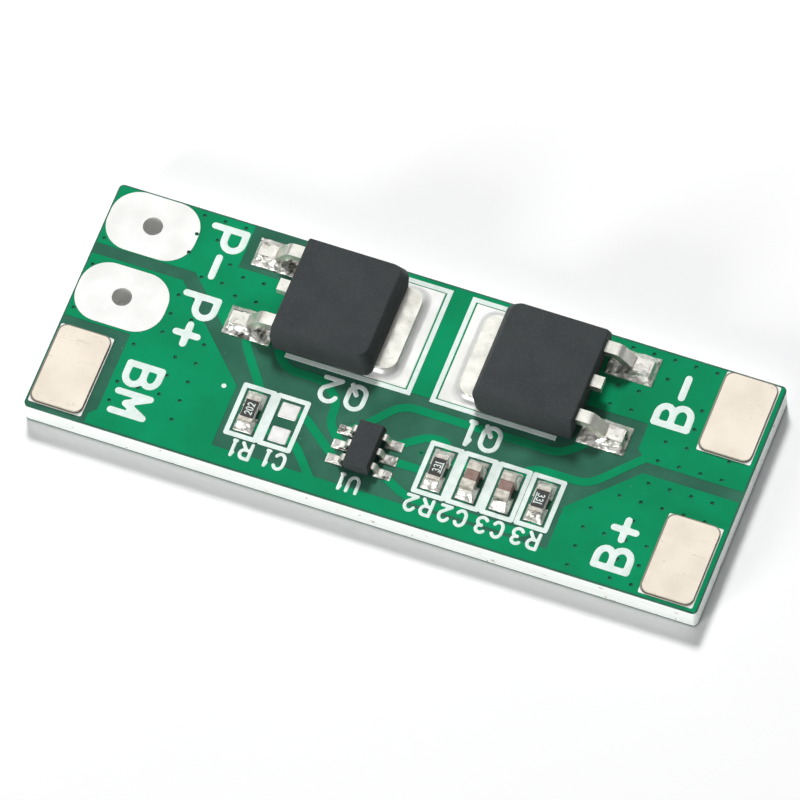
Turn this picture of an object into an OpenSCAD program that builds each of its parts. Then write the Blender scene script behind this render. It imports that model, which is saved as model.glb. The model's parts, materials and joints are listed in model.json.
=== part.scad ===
// Two-cell battery management board: a small double-sided circuit board that carries two power
// transistors in series, a control chip, chip resistors and capacitors, three spot-weld tabs for the
// cells and two plated holes for the output wires.
// Origin: centre of the underside. +X runs towards the cell end, +Y towards the power transistors.

/* [Board] */
// Length of the board, along X
board_length = 40; // [38:0.5:48]
// Width of the board, along Y
board_width = 15; // [14.8:0.2:20]
// Finished thickness, over the solder mask on both sides
board_thickness = 1.6; // [0.8:0.1:2.4]
// Radius of the board's four corners
board_corner = 0.3; // [0.1:0.05:0.8]

/* [Copper and mask] */
// Thickness of each copper layer
copper_thickness = 0.07; // [0.05:0.005:0.105]
// Thickness of the solder mask over copper
mask_thickness = 0.03; // [0.025:0.005:0.05]
// How much lower the mask lies where there is no copper under it
mask_step = 0.015; // [0.01:0.001:0.02]
// Distance from the board's edge to the copper
copper_pullback = 0.1; // [0.05:0.01:0.3]
// Width of the bare channel between two copper areas
channel_width = 0.7; // [0.4:0.05:0.9]
// Width of a signal track
track_width = 0.5; // [0.3:0.05:0.6]
// Reach of the curve at a track's bend
track_bend = 0.8; // [0.2:0.05:1.2]
// Width of the supply strip along the front edge
strip_width = 1; // [0.6:0.05:1.2]

/* [Stitching vias] */
// Distance from via to via
via_pitch = 1.25; // [1.2:0.01:1.3]
// Drilled diameter of a via
via_drill = 0.3; // [0.25:0.01:0.5]
// Copper plated on the wall of a via
via_plating = 0.03; // [0.02:0.005:0.05]

/* [Output pads] */
// Length of an output pad, along X
out_pad_length = 5.3; // [4.6:0.1:6]
// Width of an output pad, along Y
out_pad_width = 3.82; // [3.4:0.02:3.9]
// Corner radius of an output pad
out_pad_corner = 1.65; // [0.5:0.05:1.7]
// Distance from an output pad to the board's edge
out_pad_margin = 0.1; // [0.05:0.01:0.3]
// Clear distance between the two output pads
out_pad_gap = 0.98; // [0.9:0.01:1.1]
// Drilled diameter of a wire hole, before plating
wire_drill = 1.25; // [1:0.05:2]
// Plating on the wall of a wire hole
wire_plating = 0.05; // [0.03:0.005:0.1]

/* [Cell tabs] */
// Width of a nickel tab, along X
tab_width = 3; // [2.5:0.05:3.2]
// Length of a nickel tab, along Y
tab_length = 5; // [4.4:0.05:5.2]
// Thickness of a nickel tab
tab_thickness = 0.2; // [0.1:0.05:0.5]
// Corner radius of a nickel tab
tab_corner = 0.45; // [0.1:0.05:0.8]
// Solder showing round a nickel tab
tab_border = 0.1; // [0.05:0.01:0.15]
// Distance from the end tabs' solder to the cell end of the board
end_tab_margin = 0.32; // [0.2:0.02:0.5]
// Distance from the negative tab's solder to the back edge
b_minus_inset = 0.12; // [0.1:0.01:0.3]
// Distance from the positive tab's solder to the front edge
b_plus_inset = 0.25; // [0.1:0.01:0.3]
// Distance from the middle tab's solder to the output end
mid_tab_margin = 0.16; // [0.12:0.01:0.4]
// Distance from the middle tab's solder to the front edge
mid_tab_inset = 0.34; // [0.2:0.01:0.4]

/* [Power transistors] */
// Moulded body, along X
fet_body_length = 6.1; // [5.9:0.05:6.3]
// Moulded body, along Y
fet_body_width = 6.6; // [6.3:0.05:6.8]
// Height of the moulded body
fet_body_height = 2; // [2:0.05:2.5]
// Slope of the body's long sides, from the parting line to the top
fet_side_draft = 0.26; // [0.1:0.02:0.4]
// Slope of the body's end at the drain tab, from the parting line to the top
fet_tab_draft = 0.4; // [0.1:0.02:0.5]
// Slope of the body's end at the leads, from the parting line to the top
fet_lead_draft = 0.06; // [0.03:0.01:0.2]
// Slope below the parting line
fet_lower_draft = 0.1; // [0.05:0.01:0.2]
// Width of the broken rim round the body's top
fet_rim = 0.08; // [0.03:0.01:0.15]
// Corner radius of the body at the drain tab
fet_tab_side_corner = 0.55; // [0.3:0.05:1.2]
// Corner radius of the body at the leads
fet_lead_side_corner = 0.15; // [0.1:0.01:0.3]
// How far the drain tab stands out of the body
drain_reach = 1.05; // [0.8:0.05:1.2]
// Width of the drain tab
drain_width = 5.3; // [4.8:0.05:5.5]
// Corner radius of the drain tab
drain_corner = 0.75; // [0.2:0.05:0.9]
// Thickness of the lead frame
frame_thickness = 0.5; // [0.4:0.02:0.6]
// Width of a lead
lead_width = 0.76; // [0.6:0.02:0.9]
// Distance between the gate lead and the source lead
lead_pitch = 4.572; // [4.4:0.02:4.7]
// Height of the leads' underside where they leave the body
lead_rise = 1; // [0.8:0.02:1.1]
// From the body to the tip of a lead
lead_reach = 2.7; // [2.6:0.05:2.9]
// Length of a lead's flat foot
foot_length = 0.95; // [0.8:0.05:1.1]
// Radius of a lead's bends, along its middle
lead_bend = 0.4; // [0.35:0.01:0.45]
// How far a lead runs on inside the body
lead_hidden = 0.7; // [0.5:0.05:1]
// How far the drain tab runs on under the body
drain_hidden = 4.4; // [4:0.05:4.8]
// How far the cropped middle lead stands out of the body
stub_reach = 0.65; // [0.3:0.05:0.9]
// Distance between the two transistor bodies' centres
fet_spacing = 11.96; // [11.6:0.02:12.2]
// How far the pair sits towards the cell end from the middle
fet_shift = 0.83; // [0.5:0.01:1]
// From the back edge to the transistors' centre line
fet_inset = 3.85; // [3.7:0.01:4]

/* [Control chip] */
// Moulded body, along X
chip_body_length = 1.6; // [1.5:0.02:1.7]
// Moulded body, along Y
chip_body_width = 2.9; // [2.8:0.02:3]
// Top of the body above the solder
chip_body_height = 1.15; // [0.9:0.01:1.3]
// Gap under the body
chip_standoff = 0.05; // [0.03:0.01:0.1]
// Slope of the body's sides
chip_draft = 0.1; // [0.05:0.01:0.14]
// Distance from lead to lead
chip_lead_pitch = 0.95; // [0.9:0.01:1]
// Width of a lead
chip_lead_width = 0.4; // [0.3:0.01:0.45]
// Thickness of a lead
chip_lead_thickness = 0.15; // [0.1:0.01:0.18]
// Tip to tip, over the leads
chip_span = 2.8; // [2.7:0.02:3]
// Length of a lead's flat foot
chip_foot = 0.3; // [0.25:0.01:0.35]
// Level stretch of a chip lead before it turns down
chip_lead_flat = 0.08; // [0.05:0.01:0.12]
// Height of the leads' middle where they leave the body
chip_lead_level = 0.58; // [0.5:0.01:0.65]
// Radius of a lead's bends, along its middle
chip_lead_bend = 0.14; // [0.12:0.01:0.16]
// How far a lead runs on inside the body
chip_lead_hidden = 0.25; // [0.15:0.01:0.4]
// Middle of the chip, along X
chip_x = -0.83; // [-1.2:0.01:-0.4]
// How far the chip sits in front of the chip row's centre line
chip_drop = 0.26; // [0.2:0.01:0.3]

/* [Chip resistors and capacitors] */
// Length of a resistor or capacitor, along Y
part_length = 1.6; // [1.5:0.02:1.7]
// Width of a resistor or capacitor
part_width = 0.8; // [0.7:0.02:0.9]
// Height of a resistor
resistor_height = 0.45; // [0.35:0.01:0.55]
// Height of a capacitor
capacitor_height = 0.8; // [0.6:0.01:0.9]
// Length of a resistor's end terminal
resistor_terminal = 0.24; // [0.2:0.01:0.35]
// Length of a capacitor's end terminal
capacitor_terminal = 0.48; // [0.3:0.01:0.55]
// Thickness of the plating on a terminal
terminal_plating = 0.03; // [0.02:0.005:0.05]
// Bare margin beside the glaze
glaze_margin = 0.02; // [0.01:0.01:0.05]
// Thickness of the glaze over a resistor's element
glaze_thickness = 0.02; // [0.01:0.002:0.04]
// From the front edge to the centre line of the chip row
row_inset = 3.7; // [3.6:0.01:3.9]
// Middle of R1, the first place of the left group, along X
left_group_x = -7.78; // [-7.9:0.01:-7.6]
// Middle of R2, the first place of the right group, along X
right_group_x = 3.4; // [3.3:0.01:3.6]

/* [Solder pads] */
// Width of the pad that shows round the drain tab's free edge
drain_pad_border = 0.9; // [0.7:0.05:1]
// How much narrower than the body the drain pad is, at each side
drain_pad_inset = 0.125; // [0.1:0.005:0.3]
// A transistor's lead pad beyond the tip of the foot
lead_pad_toe = 0.25; // [0.1:0.01:0.4]
// A transistor's lead pad behind the foot
lead_pad_heel = 1.6; // [1:0.05:1.8]
// A transistor's lead pad beside the lead
lead_pad_side = 0.52; // [0.3:0.01:0.55]
// Length of the chip's lead pads
chip_pad_length = 1; // [0.9:0.01:1.1]
// The chip's lead pads beyond the tip of the foot
chip_pad_toe = 0.52; // [0.4:0.01:0.6]
// The chip's lead pads beside the lead
chip_pad_side = 0.08; // [0.04:0.01:0.1]
// Length of a chip part's pads
part_pad_length = 1; // [0.8:0.01:1.1]
// A chip part's pads beside the part
part_pad_side = 0.16; // [0.05:0.01:0.2]
// How far the middle of a chip part's pad lies inside the part's end
part_pad_in = 0.01; // [0:0.01:0.1]

/* [Solder] */
// Solder standing above the mask, which is also what the parts sit on
solder_rise = 0.03; // [0.02:0.005:0.06]
// Height of the fillet at a transistor's tab and feet
fet_fillet = 0.3; // [0.1:0.02:0.4]
// Height of the fillet at a chip terminal
part_fillet = 0.3; // [0.1:0.02:0.34]
// How far solder draws in from the edge of a transistor's pads
solder_step = 0.1; // [0.05:0.01:0.15]
// Solder drawn up the lead behind its foot
lead_solder_heel = 0.5; // [0.2:0.05:0.8]
// Solder drawn up beside a transistor's tab and leads
fet_solder_side = 0.05; // [0.02:0.01:0.1]
// Height of the fillet at the chip's feet
chip_fillet = 0.12; // [0.08:0.01:0.14]
// Solder drawn up beside and before the chip's feet
chip_solder_side = 0.03; // [0.02:0.01:0.06]
// Solder drawn up before a chip part's end
part_solder_toe = 0.08; // [0.04:0.01:0.2]

/* [White legend] */
// Thickness of the printed legend
legend_thickness = 0.02; // [0.01:0.002:0.03]
// Width of a printed outline
legend_line = 0.28; // [0.15:0.01:0.3]
// From a chip part's side to the outside of its printed outline
outline_side = 0.6; // [0.5:0.01:0.62]
// From a chip part's end to the outside of its printed outline
outline_end = 0.91; // [0.85:0.01:0.95]
// Gap between two neighbouring outlines
outline_gap = 0.03; // [0.02:0.01:0.06]
// From the drain pad to the outside of a transistor's printed outline
fet_outline_reach = 0.4; // [0.35:0.01:0.45]
// How much wider than the body a transistor's printed outline is, at each side
fet_outline_side = 0.225; // [0.2:0.005:0.25]
// How far a transistor's printed outline stops short of the lead side
fet_outline_end = 0.95; // [0.8:0.05:1.2]
// From the left group's copper edge to the printed dot
legend_dot_side = 0.68; // [0.5:0.01:0.9]
// From the chip row's centre line to the printed dot
legend_dot_rise = 1.1; // [0.8:0.05:1.4]

/* [Hidden] */
$fn = 48;

// Levels, from the underside up
z_lower_copper = mask_thickness;
z_core = z_lower_copper + copper_thickness;
z_upper_copper = board_thickness - mask_thickness - copper_thickness;
z_mask = board_thickness - mask_thickness;
z_seat = board_thickness + solder_rise;
bare_mask = copper_thickness + mask_thickness - mask_step;
slice = 0.01;
cut = 0.5;

// Edges and lines that the rest is set out from
left = -board_length / 2;
right = board_length / 2;
front = -board_width / 2;
back = board_width / 2;
fet_y = back - fet_inset;
row_y = front + row_inset;
q2_x = fet_shift - fet_spacing / 2;
q1_x = fet_shift + fet_spacing / 2;

// Output pads
out_pad_size = [out_pad_length, out_pad_width];
out_x = left + out_pad_margin + out_pad_length / 2;
p_minus_y = back - out_pad_margin - out_pad_width / 2;
p_plus_y = p_minus_y - out_pad_width - out_pad_gap;
wire_bore = wire_drill - 2 * wire_plating;

// Cell tabs, each on a soldered pad
tab_pad = [tab_width + 2 * tab_border, tab_length + 2 * tab_border];
tab_pad_corner = 0.1;
end_tab_x = right - end_tab_margin - tab_pad[0] / 2;
b_minus_y = back - b_minus_inset - tab_pad[1] / 2;
b_plus_y = front + b_plus_inset + tab_pad[1] / 2;
bm_x = left + mid_tab_margin + tab_pad[0] / 2;
bm_y = front + mid_tab_inset + tab_pad[1] / 2;

// Power transistors, in a frame of their own: drain tab towards -X, leads towards +X
fet_edge = fet_body_length / 2;
lead_level = lead_rise + frame_thickness / 2;
lead_tip = fet_edge + lead_reach;
lead_slope = 52;
lead_fall = lead_level - frame_thickness / 2 - 2 * lead_bend * (1 - cos(lead_slope));
lead_flat = lead_reach - foot_length - 2 * lead_bend * sin(lead_slope) - lead_fall / tan(lead_slope);
drain_end = -fet_edge - drain_reach;
drain_pad = [drain_hidden + drain_reach + drain_pad_border, fet_body_width - 2 * drain_pad_inset];
drain_pad_x = drain_end - drain_pad_border + drain_pad[0] / 2;
lead_pad = [lead_pad_heel + foot_length + lead_pad_toe, lead_width + 2 * lead_pad_side];
lead_pad_x = lead_tip + lead_pad_toe - lead_pad[0] / 2;

// Control chip
chip_y = row_y - chip_drop;
chip_lead_slope = 70;
chip_pad = [chip_pad_length, chip_lead_width + 2 * chip_pad_side];
chip_pad_x = chip_span / 2 + chip_pad_toe - chip_pad[0] / 2;

// Chip row: outlines of one size, side by side in two groups
outline_size = [part_width + 2 * outline_side, part_length + 2 * outline_end];
outline_pitch = outline_size[0] + outline_gap;
part_pad = [part_width + 2 * part_pad_side, part_pad_length];
part_pad_y = part_length / 2 - part_pad_in;
r1_x = left_group_x;
c1_x = r1_x + outline_pitch;
r2_x = right_group_x;
c2_x = r2_x + outline_pitch;
c3_x = c2_x + outline_pitch;
r3_x = c3_x + outline_pitch;

// Copper areas: the edges that they keep to, and the gaps between one net and the next
edge_left = left + copper_pullback;
edge_right = right - copper_pullback;
edge_front = front + copper_pullback;
edge_back = back - copper_pullback;
half_channel = channel_width / 2;
pad_rim = 0.05;
track_gap = 0.2;
row_margin = 0.32;
corner_cut = 0.4;
strip_top = edge_front + strip_width;
row_left = r1_x - outline_size[0] / 2 - row_margin;
row_right = r3_x + outline_size[0] / 2 + row_margin;

// The channel between the output pads runs level, then down at 45 degrees to the chip row
out_channel_y = p_minus_y - out_pad_width / 2 - half_channel - pad_rim;
out_channel_x = out_x + out_pad_length / 2 + track_gap;
out_channel_turn = [out_channel_x + channel_width - track_gap, out_channel_y + half_channel];

// The channel between the cell tabs
cell_channel_y = (b_minus_y + b_plus_y) / 2 + track_gap / 2;

// The bare border round the middle tab
bm_border = channel_width - 0.1;
bm_island = [bm_x + tab_pad[0] / 2 + channel_width, bm_y + tab_pad[1] / 2 + bm_border];

// Pads of the two transistors' leads, and the lanes that the signal tracks follow
q2_source_y = fet_y - lead_pitch / 2;
q2_gate_y = fet_y + lead_pitch / 2;
q2_pad_x = q2_x - lead_pad_x;
q1_pad_x = q1_x + lead_pad_x;
q1_pad_end = q1_pad_x + lead_pad[0] / 2;
gate_lane_x = q2_x - fet_edge + 0.4;
gate_lane_y = fet_y - fet_body_width / 2 - 0.9;
bus_lane_y = row_y - part_pad_y - part_pad[1] / 2 - 0.85;

// The negative output: both sides of the P- pad, back to the second transistor's source
gate_notch = [q2_pad_x - lead_pad[0] / 2 - 0.6, q2_gate_y - lead_pad[1] / 2 - 0.4];
lane_left = gate_lane_x - track_width / 2 - track_gap;
source_edge = q2_source_y - lead_pad[1] / 2 - pad_rim;
p_minus_area = [
    [edge_left, edge_back],
    [gate_notch[0], edge_back],
    gate_notch,
    [lane_left, gate_notch[1]],
    [lane_left, source_edge],
    [out_channel_turn[0] + out_channel_turn[1] - source_edge, source_edge],
    out_channel_turn,
    [edge_left, out_channel_turn[1]]
];

// The positive rail: P+ pad, then along the front edge to the B+ tab, clear of the middle tab
row_step = row_y + 0.2;
supply_front = out_channel_y - half_channel;
supply_back = cell_channel_y - half_channel;
supply_area = [
    [edge_left, supply_front],
    [out_channel_x, supply_front],
    [row_left, supply_front - (row_left - out_channel_x)],
    [row_left, strip_top],
    [row_right, strip_top],
    [row_right, row_step],
    [row_right + supply_back - row_step, supply_back],
    [edge_right, supply_back],
    [edge_right, edge_front],
    [bm_island[0] - corner_cut, edge_front],
    [bm_island[0] - corner_cut, strip_top - corner_cut],
    [bm_island[0], strip_top],
    bm_island,
    [edge_left, bm_island[1]]
];

// The two drains, joined under the bodies
drain_stop = q1_x + fet_edge - 0.9;
drain_front = fet_y - drain_pad[1] / 2 - 0.15;
drain_area = [
    [gate_lane_x + track_width / 2 + track_gap, edge_back],
    [drain_stop, edge_back],
    [drain_stop, drain_front],
    [gate_lane_x + track_width / 2 + track_gap, drain_front]
];

// The negative cell end: B- tab to the first transistor's source
b_minus_start = drain_stop + 0.4;
b_minus_front = cell_channel_y + half_channel;
gate_clearance = 0.55;
gate_bypass = 0.65;
b_minus_area = [
    [b_minus_start, edge_back],
    [edge_right, edge_back],
    [edge_right, b_minus_front],
    [q1_pad_end + 2 * gate_bypass, b_minus_front],
    [q1_pad_end + gate_bypass, b_minus_front + gate_bypass],
    [q1_pad_end + gate_bypass, q2_source_y + lead_pad[1] / 2 + gate_clearance],
    [b_minus_start, q2_source_y + lead_pad[1] / 2 + gate_clearance]
];

// Tracks, each a list of corners from one pad to the next, set out from the pads and lanes that they pass
top_pad_y = row_y + part_pad_y;
low_pad_y = row_y - part_pad_y;
over_row_y = top_pad_y + 1.15;
chip_left = chip_x - chip_pad_x;
chip_right = chip_x + chip_pad_x;
chip_back = chip_y + chip_lead_pitch;
chip_front = chip_y - chip_lead_pitch;
source_tap = [[q2_pad_x + 0.1, q2_source_y], [q2_pad_x + 0.1, q2_source_y - 1.1], [r1_x, top_pad_y + 0.8],
    [r1_x, top_pad_y]];
q2_gate_track = [[q2_pad_x, q2_gate_y], [gate_lane_x, q2_gate_y], [gate_lane_x, gate_lane_y + 0.95],
    [gate_lane_x + 0.95, gate_lane_y], [chip_left - 2.2, gate_lane_y], [chip_left - 1.15, gate_lane_y - 1.05],
    [chip_left - 1.15, chip_y + 1.15], [chip_left, chip_y]];
c1_track = [[c1_x, top_pad_y], [c1_x + 0.9, top_pad_y], [chip_left, chip_front]];
r1_track = [[r1_x, low_pad_y], [c1_x, low_pad_y], [c1_x + 1, low_pad_y - 0.2], [c1_x + 2.6, strip_top - 0.2]];
q1_gate_track = [[chip_left, chip_back], [chip_x - 0.5, chip_back + 0.85], [chip_x + 0.95, gate_lane_y],
    [q1_pad_x - 1.95, gate_lane_y], [q1_pad_x - 0.75, q2_source_y - 0.8], [q1_pad_x - 0.75, q2_source_y]];
r2_track = [[chip_right, chip_back], [r2_x - 1.2, top_pad_y + 1.05], [r2_x, top_pad_y + 1.05],
    [r2_x, top_pad_y]];
via_track = [[chip_right, chip_y], [r2_x - 0.9, chip_y]];
bus_track = [[chip_right, chip_front], [r2_x - 1.1, bus_lane_y], [r3_x, bus_lane_y], [r3_x, low_pad_y]];
cell_track = [[c3_x, top_pad_y], [c3_x + 0.9, over_row_y], [r3_x + 2.1, over_row_y],
    [q1_pad_end + 2 * gate_bypass, b_minus_front + 0.3]];
TRACKS = [
    source_tap, q2_gate_track, c1_track, r1_track, q1_gate_track, r2_track, via_track, bus_track, cell_track,
    [[r3_x, top_pad_y], [r3_x, over_row_y]],
    [[c2_x, top_pad_y], [r2_x, top_pad_y]],
    [[c2_x, low_pad_y], [c2_x, bus_lane_y]]
];

// Vias: on each copper area a square grid from one corner, and for each row the columns that it holds
via_bore = via_drill - 2 * via_plating;
OUT_ROWS = [[0, 1, 2], [0, 1, 2], [0, 2], [1, 2]];
SOURCE_ROWS = [[0, 1], [0, 1]];
SUPPLY_ROWS = [[0, 1, 3], [0, 1, 2, 3], [2, 3], [0, 2, 3], [1, 2, 3], [1, 2], [1]];
B_MINUS_ROWS = [[3, 4, 5, 6], [3, 4, 6], [0, 1, 4], [0, 1, 4], [2, 3], [0, 1, 2, 3, 4]];
B_PLUS_ROWS = [[0, 2, 3], [0, 1, 2, 3], [0, 1, 2, 3], [0, 2], [1, 2, 3, 4, 5], [2, 3, 4, 5]];
function grid(rows, corner, step_y = 1) = [
    for (row = [0:len(rows) - 1]) for (column = rows[row])
        corner + via_pitch * [column, step_y * row]
];

// The corner that each grid starts from
out_pad_end = out_x + out_pad_length / 2;
out_vias = [out_pad_end - 0.13, back - 0.4];
source_vias = [q2_pad_x - 1.5, q2_source_y + 1.47];
supply_vias = [bm_island[0] + 0.42, front + 1.85];
b_minus_vias = [right - 7.2 * via_pitch, back - 5.36 * via_pitch];
b_plus_vias = [right - 6.2 * via_pitch, front + 0.44 * via_pitch];
corner_vias_x = left + 0.42;
corner_vias = [
    [corner_vias_x, p_minus_y - out_pad_width / 2 + 0.32],
    [corner_vias_x, p_plus_y + out_pad_width / 2 - 0.48],
    [corner_vias_x, p_plus_y - out_pad_width / 2 + 0.42]
];
signal_via = [r2_x - via_pitch, top_pad_y - 0.05];
VIAS = concat(
    grid(OUT_ROWS, out_vias, -1),
    grid(SOURCE_ROWS, source_vias),
    grid(SUPPLY_ROWS, supply_vias),
    grid(B_MINUS_ROWS, b_minus_vias),
    grid(B_PLUS_ROWS, b_plus_vias),
    corner_vias,
    [signal_via]
);

// ---------------------------------------------------------------- flat outlines

module rounded_2d(size, radius) {
    square([size[0] - 2 * radius, size[1]], center = true);
    square([size[0], size[1] - 2 * radius], center = true);
    for (x = [-1, 1], y = [-1, 1])
        translate([x * (size[0] / 2 - radius), y * (size[1] / 2 - radius)])
            circle(r = radius);
}

// A track is a band of even width along its list of corners. Each bend is first drawn as a curve of
// bend_steps pieces that leaves and meets the straight runs at most track_bend from the corner
bend_steps = 4;
function unit(run) = run / norm(run);
function left_of(run) = [-run[1], run[0]];
function curve_at(before, corner, after) =
    let (
        reach = min(track_bend, norm(before - corner) / 2.2, norm(after - corner) / 2.2),
        first = corner + reach * unit(before - corner),
        last = corner + reach * unit(after - corner)
    )
    [
        for (step = [0:bend_steps])
            let (share = step / bend_steps)
                (1 - share) * (1 - share) * first + 2 * share * (1 - share) * corner + share * share * last
    ];
function curved(corners) = [
    corners[0],
    for (i = [1:1:len(corners) - 2])
        each curve_at(corners[i - 1], corners[i], corners[i + 1]),
    corners[len(corners) - 1]
];
function track_side(corners, reach) = [
    for (i = [0:len(corners) - 1])
        let (
            before = left_of(unit(corners[max(i, 1)] - corners[max(i, 1) - 1])),
            after = left_of(unit(corners[min(i + 1, len(corners) - 1)] - corners[min(i, len(corners) - 2)]))
        )
        corners[i] + reach * (before + after) / (1 + before * after)
];

module track_2d(corners, width) {
    far_side = track_side(corners, -width / 2);
    polygon(concat(
        track_side(corners, width / 2),
        [for (i = [len(corners) - 1:-1:0]) far_side[i]]
    ));
}

module board_2d() {
    rounded_2d([board_length, board_width], board_corner);
}

module at_vias() {
    for (place = VIAS)
        translate(place) children();
}

module at_wire_holes() {
    for (y = [p_minus_y, p_plus_y])
        translate([out_x, y]) children();
}

// A transistor's own frame: x is its centre, turn is 0 with the drain tab towards -X, 180 towards +X
module at_fet(x, turn) {
    translate([x, fet_y])
        rotate([0, 0, turn]) children();
}

module lead_pads_2d() {
    for (side = [-1, 1])
        translate([lead_pad_x, side * lead_pitch / 2]) square(lead_pad, center = true);
}

module drain_pad_2d() {
    translate([drain_pad_x, 0]) square(drain_pad, center = true);
}

module chip_pads_2d() {
    for (side = [-1, 1], row = [-1:1])
        translate([chip_x + side * chip_pad_x, chip_y + row * chip_lead_pitch])
            square(chip_pad, center = true);
}

module part_pads_2d(x) {
    for (side = [-1, 1])
        translate([x, row_y + side * part_pad_y]) square(part_pad, center = true);
}

module tab_pads_2d() {
    for (place = [[end_tab_x, b_minus_y], [end_tab_x, b_plus_y], [bm_x, bm_y]])
        translate(place) rounded_2d(tab_pad, tab_pad_corner);
}

module out_pads_2d() {
    at_wire_holes() rounded_2d(out_pad_size, out_pad_corner);
}

// Every place on the upper side where the mask is open and the copper is soldered or tinned
module top_openings_2d() {
    out_pads_2d();
    tab_pads_2d();
    at_fet(q1_x, 0) lead_pads_2d();
    at_fet(q2_x, 180) lead_pads_2d();
    at_fet(q1_x, 0) drain_pad_2d();
    at_fet(q2_x, 180) drain_pad_2d();
    chip_pads_2d();
    for (x = [r1_x, c1_x, r2_x, c2_x, c3_x, r3_x])
        part_pads_2d(x);
}

// The mask runs over the plated rim of each via, down to its bore
module mask_on_copper_2d() {
    difference() {
        union() {
            children();
            at_vias() circle(d = via_drill);
        }
        at_vias() circle(d = via_bore);
    }
}

module top_copper_2d() {
    difference() {
        union() {
            polygon(p_minus_area);
            polygon(supply_area);
            polygon(drain_area);
            polygon(b_minus_area);
            for (track = TRACKS)
                track_2d(curved(track), track_width);
            top_openings_2d();
        }
        at_vias() circle(d = via_drill);
        at_wire_holes() circle(d = wire_drill);
    }
}

// The underside repeats the large areas, so that each via joins the same net on both sides
module underside_copper_2d() {
    difference() {
        union() {
            polygon(p_minus_area);
            polygon(supply_area);
            polygon(drain_area);
            polygon(b_minus_area);
            out_pads_2d();
            translate([bm_x, bm_y]) rounded_2d(tab_pad, tab_pad_corner);
            translate(signal_via) circle(d = 2 * via_drill);
        }
        at_vias() circle(d = via_drill);
        at_wire_holes() circle(d = wire_drill);
    }
}

// ---------------------------------------------------------------- the bare board

module substrate() {
    color("darkkhaki")
        translate([0, 0, z_core])
            linear_extrude(z_upper_copper - z_core)
                difference() {
                    board_2d();
                    at_vias() circle(d = via_drill);
                    at_wire_holes() circle(d = wire_drill);
                }
}

module top_copper() {
    color("peru")
        translate([0, 0, z_upper_copper])
            linear_extrude(copper_thickness) top_copper_2d();
}

module underside_copper() {
    color("peru")
        translate([0, 0, z_lower_copper])
            linear_extrude(copper_thickness) underside_copper_2d();
}

module via_barrels() {
    color("peru")
        translate([0, 0, z_lower_copper])
            linear_extrude(z_mask - z_lower_copper)
                at_vias()
                    difference() {
                        circle(d = via_drill);
                        circle(d = via_bore);
                    }
}

// The mask is poured over both levels: on the copper it stands higher than on the bare laminate
module top_solder_mask() {
    color("seagreen") {
        translate([0, 0, z_upper_copper])
            linear_extrude(bare_mask)
                difference() {
                    board_2d();
                    top_copper_2d();
                    at_vias() circle(d = via_drill);
                    at_wire_holes() circle(d = wire_drill);
                }
        translate([0, 0, z_mask])
            linear_extrude(mask_thickness)
                difference() {
                    mask_on_copper_2d() top_copper_2d();
                    top_openings_2d();
                }
    }
}

module underside_solder_mask() {
    color("seagreen") {
        translate([0, 0, z_core - bare_mask])
            linear_extrude(bare_mask)
                difference() {
                    board_2d();
                    underside_copper_2d();
                    at_vias() circle(d = via_drill);
                    at_wire_holes() circle(d = wire_drill);
                }
        linear_extrude(mask_thickness)
            difference() {
                mask_on_copper_2d() underside_copper_2d();
                out_pads_2d();
            }
    }
}

module part_outline_2d(x) {
    translate([x, row_y])
        difference() {
            rounded_2d(outline_size, legend_line / 2);
            square(outline_size - 2 * [legend_line, legend_line], center = true);
        }
}

// Three sides round the drain pad, open towards the leads
module fet_outline_2d() {
    reach = drain_pad_border + fet_outline_reach;
    outer = [reach - drain_end + fet_edge - fet_outline_end, fet_body_width + 2 * fet_outline_side];
    difference() {
        translate([drain_end - reach + outer[0] / 2, 0]) square(outer, center = true);
        translate([drain_end - reach + legend_line + outer[0] / 2, 0])
            square([outer[0], outer[1] - 2 * legend_line], center = true);
    }
}

// The outlines, and the small dot that is printed beside the left group
module outlines_2d() {
    for (x = [r1_x, c1_x, r2_x, c2_x, c3_x, r3_x])
        part_outline_2d(x);
    at_fet(q1_x, 0) fet_outline_2d();
    at_fet(q2_x, 180) fet_outline_2d();
    translate([row_left - legend_dot_side, row_y + legend_dot_rise]) circle(d = legend_line);
}

module legend_outlines() {
    color("white") {
        translate([0, 0, board_thickness])
            linear_extrude(legend_thickness) outlines_2d();
        translate([0, 0, board_thickness - mask_step])
            linear_extrude(mask_step)
                difference() {
                    outlines_2d();
                    top_copper_2d();
                }
    }
}

// ---------------------------------------------------------------- output pads and cell tabs

// Tin on one side of an output pad, open over the vias at its edge
module out_pad_tin(y, thickness) {
    linear_extrude(thickness)
        difference() {
            rounded_2d(out_pad_size, out_pad_corner);
            translate([-out_x, -y]) at_vias() circle(d = via_bore);
        }
}

// A tinned pad on each side, joined by the plated wall of the wire hole
module out_pad(y) {
    color("gainsboro")
        translate([out_x, y, 0])
            difference() {
                union() {
                    translate([0, 0, z_mask]) out_pad_tin(y, z_seat - z_mask);
                    out_pad_tin(y, mask_thickness);
                    linear_extrude(z_seat) circle(d = wire_drill);
                }
                translate([0, 0, -cut]) cylinder(d = wire_bore, h = z_seat + 2 * cut);
            }
}

module p_minus_pad() { out_pad(p_minus_y); }
module p_plus_pad() { out_pad(p_plus_y); }

module tab_solder(x, y) {
    color("gainsboro")
        translate([x, y, z_mask])
            linear_extrude(z_seat - z_mask) rounded_2d(tab_pad, tab_pad_corner);
}

module nickel_tab(x, y) {
    color("linen")
        translate([x, y, z_seat])
            linear_extrude(tab_thickness) rounded_2d([tab_width, tab_length], tab_corner);
}

module b_minus_solder() { tab_solder(end_tab_x, b_minus_y); }
module b_plus_solder() { tab_solder(end_tab_x, b_plus_y); }
module bm_solder() { tab_solder(bm_x, bm_y); }
module b_minus_tab() { nickel_tab(end_tab_x, b_minus_y); }
module b_plus_tab() { nickel_tab(end_tab_x, b_plus_y); }
module bm_tab() { nickel_tab(bm_x, bm_y); }

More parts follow.
